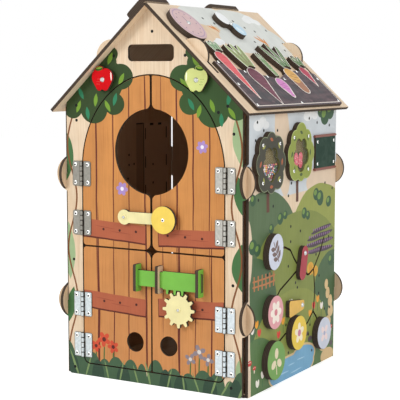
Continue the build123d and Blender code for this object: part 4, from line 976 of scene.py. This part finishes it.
# Charm behind the light tree's pane: a pink coat whose glittering sparkle is pale dots of painted glints, and
# a seam
charm = {"coat": "#DE6470", "glitterGlint": "#F4CDCB", "grains": 14, "turn": 2.4, "ring": (7, 6), "grain": 1.1,
         "seam": "#B93F50", "seamForm": ("box", 0, 0, 1.0, 10, 0)}
glitterGlint = [(charm["ring"][0] * math.cos(charm["turn"] * k) * (1 + k % 2),
            charm["ring"][1] * math.sin(charm["turn"] * k) * (1 + k % 2)) for k in range(charm["grains"])]
motifs = [(charm["glitterGlint"], dots(glitterGlint, charm["grain"])), (charm["seam"], [charm["seamForm"]])]
paint = paintPrint(charm["coat"], placed(motifs, middleOf("tree_charm", "right")))
dress(sheetMaterial("plyPrintedCharm", "right", paint, roughness=0.35), "tree_charm")
print("metal, acrylic and chalkboard dressed")


def newPiece(name, mesh, body, slotName, *materials):
    data = bpy.data.meshes.new(name)
    mesh.to_mesh(data)
    mesh.free()
    piece = bpy.data.objects.new(name, data)
    bpy.context.scene.collection.objects.link(piece)
    for material in materials:
        data.materials.append(material)
    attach(piece, body)
    return piece


# Pan-head screws: a domed head, its cross drive a flat cross of painted shade
screw = {
    "sides": 16, "tall": 0.45, "profile": [(1.0, 0.0), (1.0, 0.35), (0.84, 0.75), (0.5, 0.95)],
    "bar": (0.5, 0.22), "barUp": 0.97,
}


def addScrew(mesh, at, out, radius):  # at in metres, radius in mm
    turn, size = Vector(out).to_track_quat("Z", "Y").to_matrix(), radius * mm
    rings = []
    for share, up in screw["profile"]:
        ring = []
        for k in range(screw["sides"]):
            angle = 2 * math.pi * k / screw["sides"]
            spot = Vector((math.cos(angle) * share, math.sin(angle) * share, up * screw["tall"])) * size
            ring.append(mesh.verts.new(Vector(at) + turn @ spot))
        rings.append(ring)
    for low, high in zip(rings, rings[1:]):
        for k in range(screw["sides"]):
            n = (k + 1) % screw["sides"]
            mesh.faces.new((low[k], low[n], high[n], high[k])).smooth = True
    mesh.faces.new(rings[-1])
    mesh.faces.new(rings[0][::-1])
    # the drive is a flat cross of painted shade laid on the head
    long, wide = screw["bar"]
    for flip in (0, 1):
        corners = [(long, wide), (-long, wide), (-long, -wide), (long, -wide)]
        corners = [(y, -x) if flip else (x, y) for x, y in corners]
        spots = [Vector((x, y, screw["tall"] * screw["barUp"])) * size for x, y in corners]
        mesh.faces.new([mesh.verts.new(Vector(at) + turn @ spot) for spot in spots]).material_index = 1


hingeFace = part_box("front_panel")[0].y - hinge["metal"] * mm
inset, tall = hinge["inset"] * mm, hinge["tall"] * mm
frameLow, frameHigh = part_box("frame_hinge_leaves")
frameScrews = bmesh.new()
for leaf in leafBodies:
    low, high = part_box("door_" + leaf + "_hinge_leaves")
    isLeft = leaf.endswith("left")
    doorX = high.x - inset if isLeft else low.x + inset
    frameX = frameLow.x + inset if isLeft else frameHigh.x - inset
    doorScrews = bmesh.new()
    for z in (high.z - inset, high.z - tall + inset, low.z + tall - inset, low.z + inset):
        addScrew(doorScrews, (doorX, hingeFace, z), (0, -1, 0), hinge["screwRadius"])
        addScrew(frameScrews, (frameX, hingeFace, z), (0, -1, 0), hinge["screwRadius"])
    newPiece("hinge_screws_" + leaf, doorScrews, leaf + "_leaf", "zinc", bright, recessShade)
newPiece("hinge_screws_frame", frameScrews, "carcass", "zinc", bright, recessShade)

# Screws of the fixed panels and the knob: soil, trees, chalkboard, latch
fixed = {
    "radius": 3.2, "knobRadius": 3.4, "soilOut": 6, "boardInset": 8, "treeReach": 1.32,
    "soil": [(-166, 162), (-167, 217), (-168, 268), (6, 268), (170, 268), (170, 207), (-102, 186), (-33, 199),
             (26, 206), (108, 186)],
}
panelScrews = bmesh.new()
down = Vector(faces["rightRoof"]["v"])
for u, v in fixed["soil"]:
    spot = Vector((0, u * mm, ridgeZ)) + down * v * mm + roofOut * fixed["soilOut"] * mm
    addScrew(panelScrews, spot, roofOut, fixed["radius"])
for name, plan in trees.items():
    (treeU, treeV), reach = plan["at"], fixed["treeReach"]
    for u, v in lobePlaces(plan)[1::2]:
        spot = (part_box(name)[1].x, (treeU + u * reach) * mm, (treeV + v * reach) * mm)
        addScrew(panelScrews, spot, (1, 0, 0), fixed["radius"])
boardLow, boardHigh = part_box("chalkboard")
inset = fixed["boardInset"] * mm
for y in (boardLow.y + inset, boardHigh.y - inset):
    for z in (boardLow.z + inset, boardHigh.z - inset):
        addScrew(panelScrews, (boardHigh.x, y, z), (1, 0, 0), fixed["radius"])
newPiece("panel_screws", panelScrews, "carcass", "zinc", bright, recessShade)
knobScrew = bmesh.new()
low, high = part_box("latch_knob")
addScrew(knobScrew, ((low.x + high.x) / 2, low.y, (low.z + high.z) / 2), (0, -1, 0), fixed["knobRadius"])
newPiece("knob_screw", knobScrew, "latch", "zinc", bright, recessShade)
print("screws set")

# Stained beech of the chalkboard's rails: straight grain, a satin brown
rail, tree = newMaterial("beechStainedRail")
position = add(tree, "TexCoord", output="Object")
grain = tuple(1 / (size * mm) for size in board["railGrain"])
lines = add(tree, "VectorMath", {0: position, 1: grain}, operation="MULTIPLY")
lines = add(tree, "TexNoise", {"Vector": lines, "Scale": 1.0, "Detail": 3.0})
colour = add(tree, "MixRGB", {"Fac": lines, "Color1": linear(board["rail"]),
                              "Color2": linear(board["railDark"])})
relief = add(tree, "Bump", {"Strength": board["railBump"], "Distance": board["railRelief"] * mm,
                            "Height": lines})
finishWith(tree, {"Base Color": colour, "Roughness": board["railRoughness"], "Normal": relief})
rails = bmesh.new()
long = boardHigh.y - boardLow.y + 2 * board["railPast"] * mm
size = Vector((board["railOut"] * mm, long, board["railTall"] * mm))
for z in (boardHigh.z, boardLow.z - size.z):
    at = Vector((boardLow.x + size.x / 2, (boardLow.y + boardHigh.y) / 2, z + size.z / 2))
    place = Matrix.Translation(at) @ Matrix.Diagonal((*size, 1.0))
    made = bmesh.ops.create_cube(rails, size=1.0, matrix=place)
    edges = list({edge for vert in made["verts"] for edge in vert.link_edges})
    bmesh.ops.bevel(rails, geom=edges, offset=board["railRound"] * mm, segments=3, affect="EDGES")
newPiece("chalkboard_rails", rails, "carcass", "chalk_paint", rail)

# Loose pressed-glass beads heaped behind the dark tree's pane: one clear colour for each, a wet shine
heap = {
    "radius": 1.8, "step": 3.8, "rowStep": 3.3, "top": -3, "reach": 40, "lobe": 14.5, "rebate": 3,
    "ring": 18, "gap": 0.3, "shares": (1.1, 1.05, 0.85, 0.9, 1.05),
    "seed": 7, "lift": 0.6, "sway": 0.1, "sizes": (0.85, 1.0),
    "flow": 1.5, "roughness": (0.12, 0.28), "ior": 1.5,
    "colours": ["#D94B55", "#E9B44C", "#F1EEE6", "#5E8F5A", "#7FA9C9", "#8A5A7A", "#3B3A3C", "#E8A0A8"],
}
beadGlass, tree = newMaterial("glassBeadsPressed")
ramp = tree.nodes.new("ShaderNodeValToRGB")
ramp.color_ramp.interpolation = "CONSTANT"
for k, hexColour in enumerate(heap["colours"]):
    stops = ramp.color_ramp.elements
    stop = stops[k] if k < 2 else stops.new(k / len(heap["colours"]))
    stop.position = k / len(heap["colours"])
    stop.color = linear(hexColour)
tree.links.new(add(tree, "NewGeometry", output="Random Per Island"), ramp.inputs[0])
finishWith(tree, {"Base Color": ramp.outputs[0], "IOR": heap["ior"],
                  "Roughness": mottle(tree, heap["flow"], show=heap["roughness"])})
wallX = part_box("tree_frame_dark")[0].x
heapU, heapV = trees["tree_frame_dark"]["at"]
hollows = [(u, v, share * heap["lobe"] + heap["rebate"] - heap["radius"] - heap["gap"])
           for (u, v), share in zip(lobePlaces(heap), heap["shares"])]
ball = bmesh.new()
bmesh.ops.create_icosphere(ball, subdivisions=2, radius=1.0)
ball.verts.index_update()
corners = [vert.co.copy() for vert in ball.verts]
sides = [[vert.index for vert in side.verts] for side in ball.faces]
ball.free()
draw = random.Random(heap["seed"])
beads = bmesh.new()
row = 0
v = -heap["ring"] - heap["lobe"] * heap["shares"][0] - heap["rebate"]
while v < heap["top"]:
    u = -heap["reach"] + (row % 2) * heap["step"] / 2
    while u < heap["reach"]:
        if any(math.hypot(u - a, v - b) < reach for a, b, reach in hollows):
            lift = heap["gap"] + heap["radius"] + draw.random() * heap["lift"]
            sway = draw.uniform(-heap["sway"], heap["sway"])
            spot = Vector((wallX / mm + lift, heapU + u + sway, heapV + v)) * mm
            size = heap["radius"] * mm * draw.uniform(*heap["sizes"])
            verts = [beads.verts.new(spot + corner * size) for corner in corners]
            for side in sides:
                beads.faces.new([verts[k] for k in side]).smooth = True
        u += heap["step"]
    v += heap["rowStep"]
    row += 1
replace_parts(newPiece("loose_beads", beads, "carcass", "beads", beadGlass), "tree_beads")
print("rails and beads made")

# Floor, light and camera
stage = {"floor": "#F4F3F1", "fibre": "#F1F0EE", "fibreSize": 10 / 3, "floorRoughness": 0.9, "floorHalf": 6.0,
         "floorDrop": 0.5, "glow": 0.55, "world": 0.5, "aim": (0, 0, 0.33)}


def whiteSeen(tree):  # 1 where the eye, a reflection or clear acrylic looks at the background itself
    seen = add(tree, "LightPath", output="Is Camera Ray")
    for ray in ("Is Glossy Ray", "Is Transmission Ray"):
        seen = add(tree, "Math", {0: seen, 1: add(tree, "LightPath", output=ray)}, operation="MAXIMUM")
    return seen


floorPaper, tree = newMaterial("paperSweepWhite")
colour = add(tree, "MixRGB", {"Fac": mottle(tree, stage["fibreSize"]), "Color1": linear(stage["floor"]),
                              "Color2": linear(stage["fibre"])})
matt = add(tree, "BsdfPrincipled", {"Base Color": colour, "Roughness": stage["floorRoughness"]})
glow = add(tree, "Emission", {"Color": (1, 1, 1, 1), "Strength": stage["glow"]})
lit = add(tree, "MixShader", {"Fac": whiteSeen(tree), 2: glow})
add(tree, "OutputMaterial", {"Surface": add(tree, "AddShader", {0: matt, 1: lit})})
sheet = bmesh.new()
half, drop = stage["floorHalf"], stage["floorDrop"] * mm
ends = ((-half, -half), (half, -half), (half, half), (-half, half))
sheet.faces.new([sheet.verts.new((x, y, -drop)) for x, y in ends])
floorData = bpy.data.meshes.new("floor")
sheet.to_mesh(floorData)
sheet.free()
floorData.materials.append(floorPaper)
floor = bpy.data.objects.new("floor", floorData)
bpy.context.scene.collection.objects.link(floor)

world = bpy.data.worlds.new("studio")
bpy.context.scene.world = world
world.use_nodes = True
tree = world.node_tree
tree.nodes.clear()
strength = add(tree, "MapRange", {0: whiteSeen(tree), 3: stage["world"], 4: 1.0})
add(tree, "OutputWorld", {"Surface": add(tree, "Background", {"Color": (1, 1, 1, 1), "Strength": strength})})

lamps = {
    "key": {"at": (-1.5, -2.6, 1.9), "size": 1.3, "power": 50},
    "fill": {"at": (2.6, -1.0, 1.5), "size": 2.2, "power": 36},
    "top": {"at": (0.5, -0.1, 2.6), "size": 1.6, "power": 10},
}
for name, plan in lamps.items():
    lampData = bpy.data.lights.new(name, "AREA")
    lampData.size = plan["size"]
    lampData.energy = plan["power"]
    lamp = bpy.data.objects.new(name, lampData)
    lamp.location = plan["at"]
    lamp.rotation_euler = (Vector(stage["aim"]) - Vector(plan["at"])).to_track_quat("-Z", "Y").to_euler()
    bpy.context.scene.collection.objects.link(lamp)

camera = {"at": (1.13106, -1.96598, 0.56074), "tilt": 90 - 6.12, "turn": 30.13, "lens": 107.58, "sensor": 36}
eyeData = bpy.data.cameras.new("photoView")
eyeData.lens = camera["lens"]
eyeData.sensor_width = camera["sensor"]
eyeData.sensor_height = camera["sensor"]
eye = bpy.data.objects.new("photoView", eyeData)
eye.location = camera["at"]
eye.rotation_euler = (math.radians(camera["tilt"]), 0, math.radians(camera["turn"]))
bpy.context.scene.collection.objects.link(eye)
bpy.context.scene.camera = eye
bpy.context.scene.view_settings.view_transform = "Standard"
print("stage, light and camera set")

bpy.context.view_layer.update()
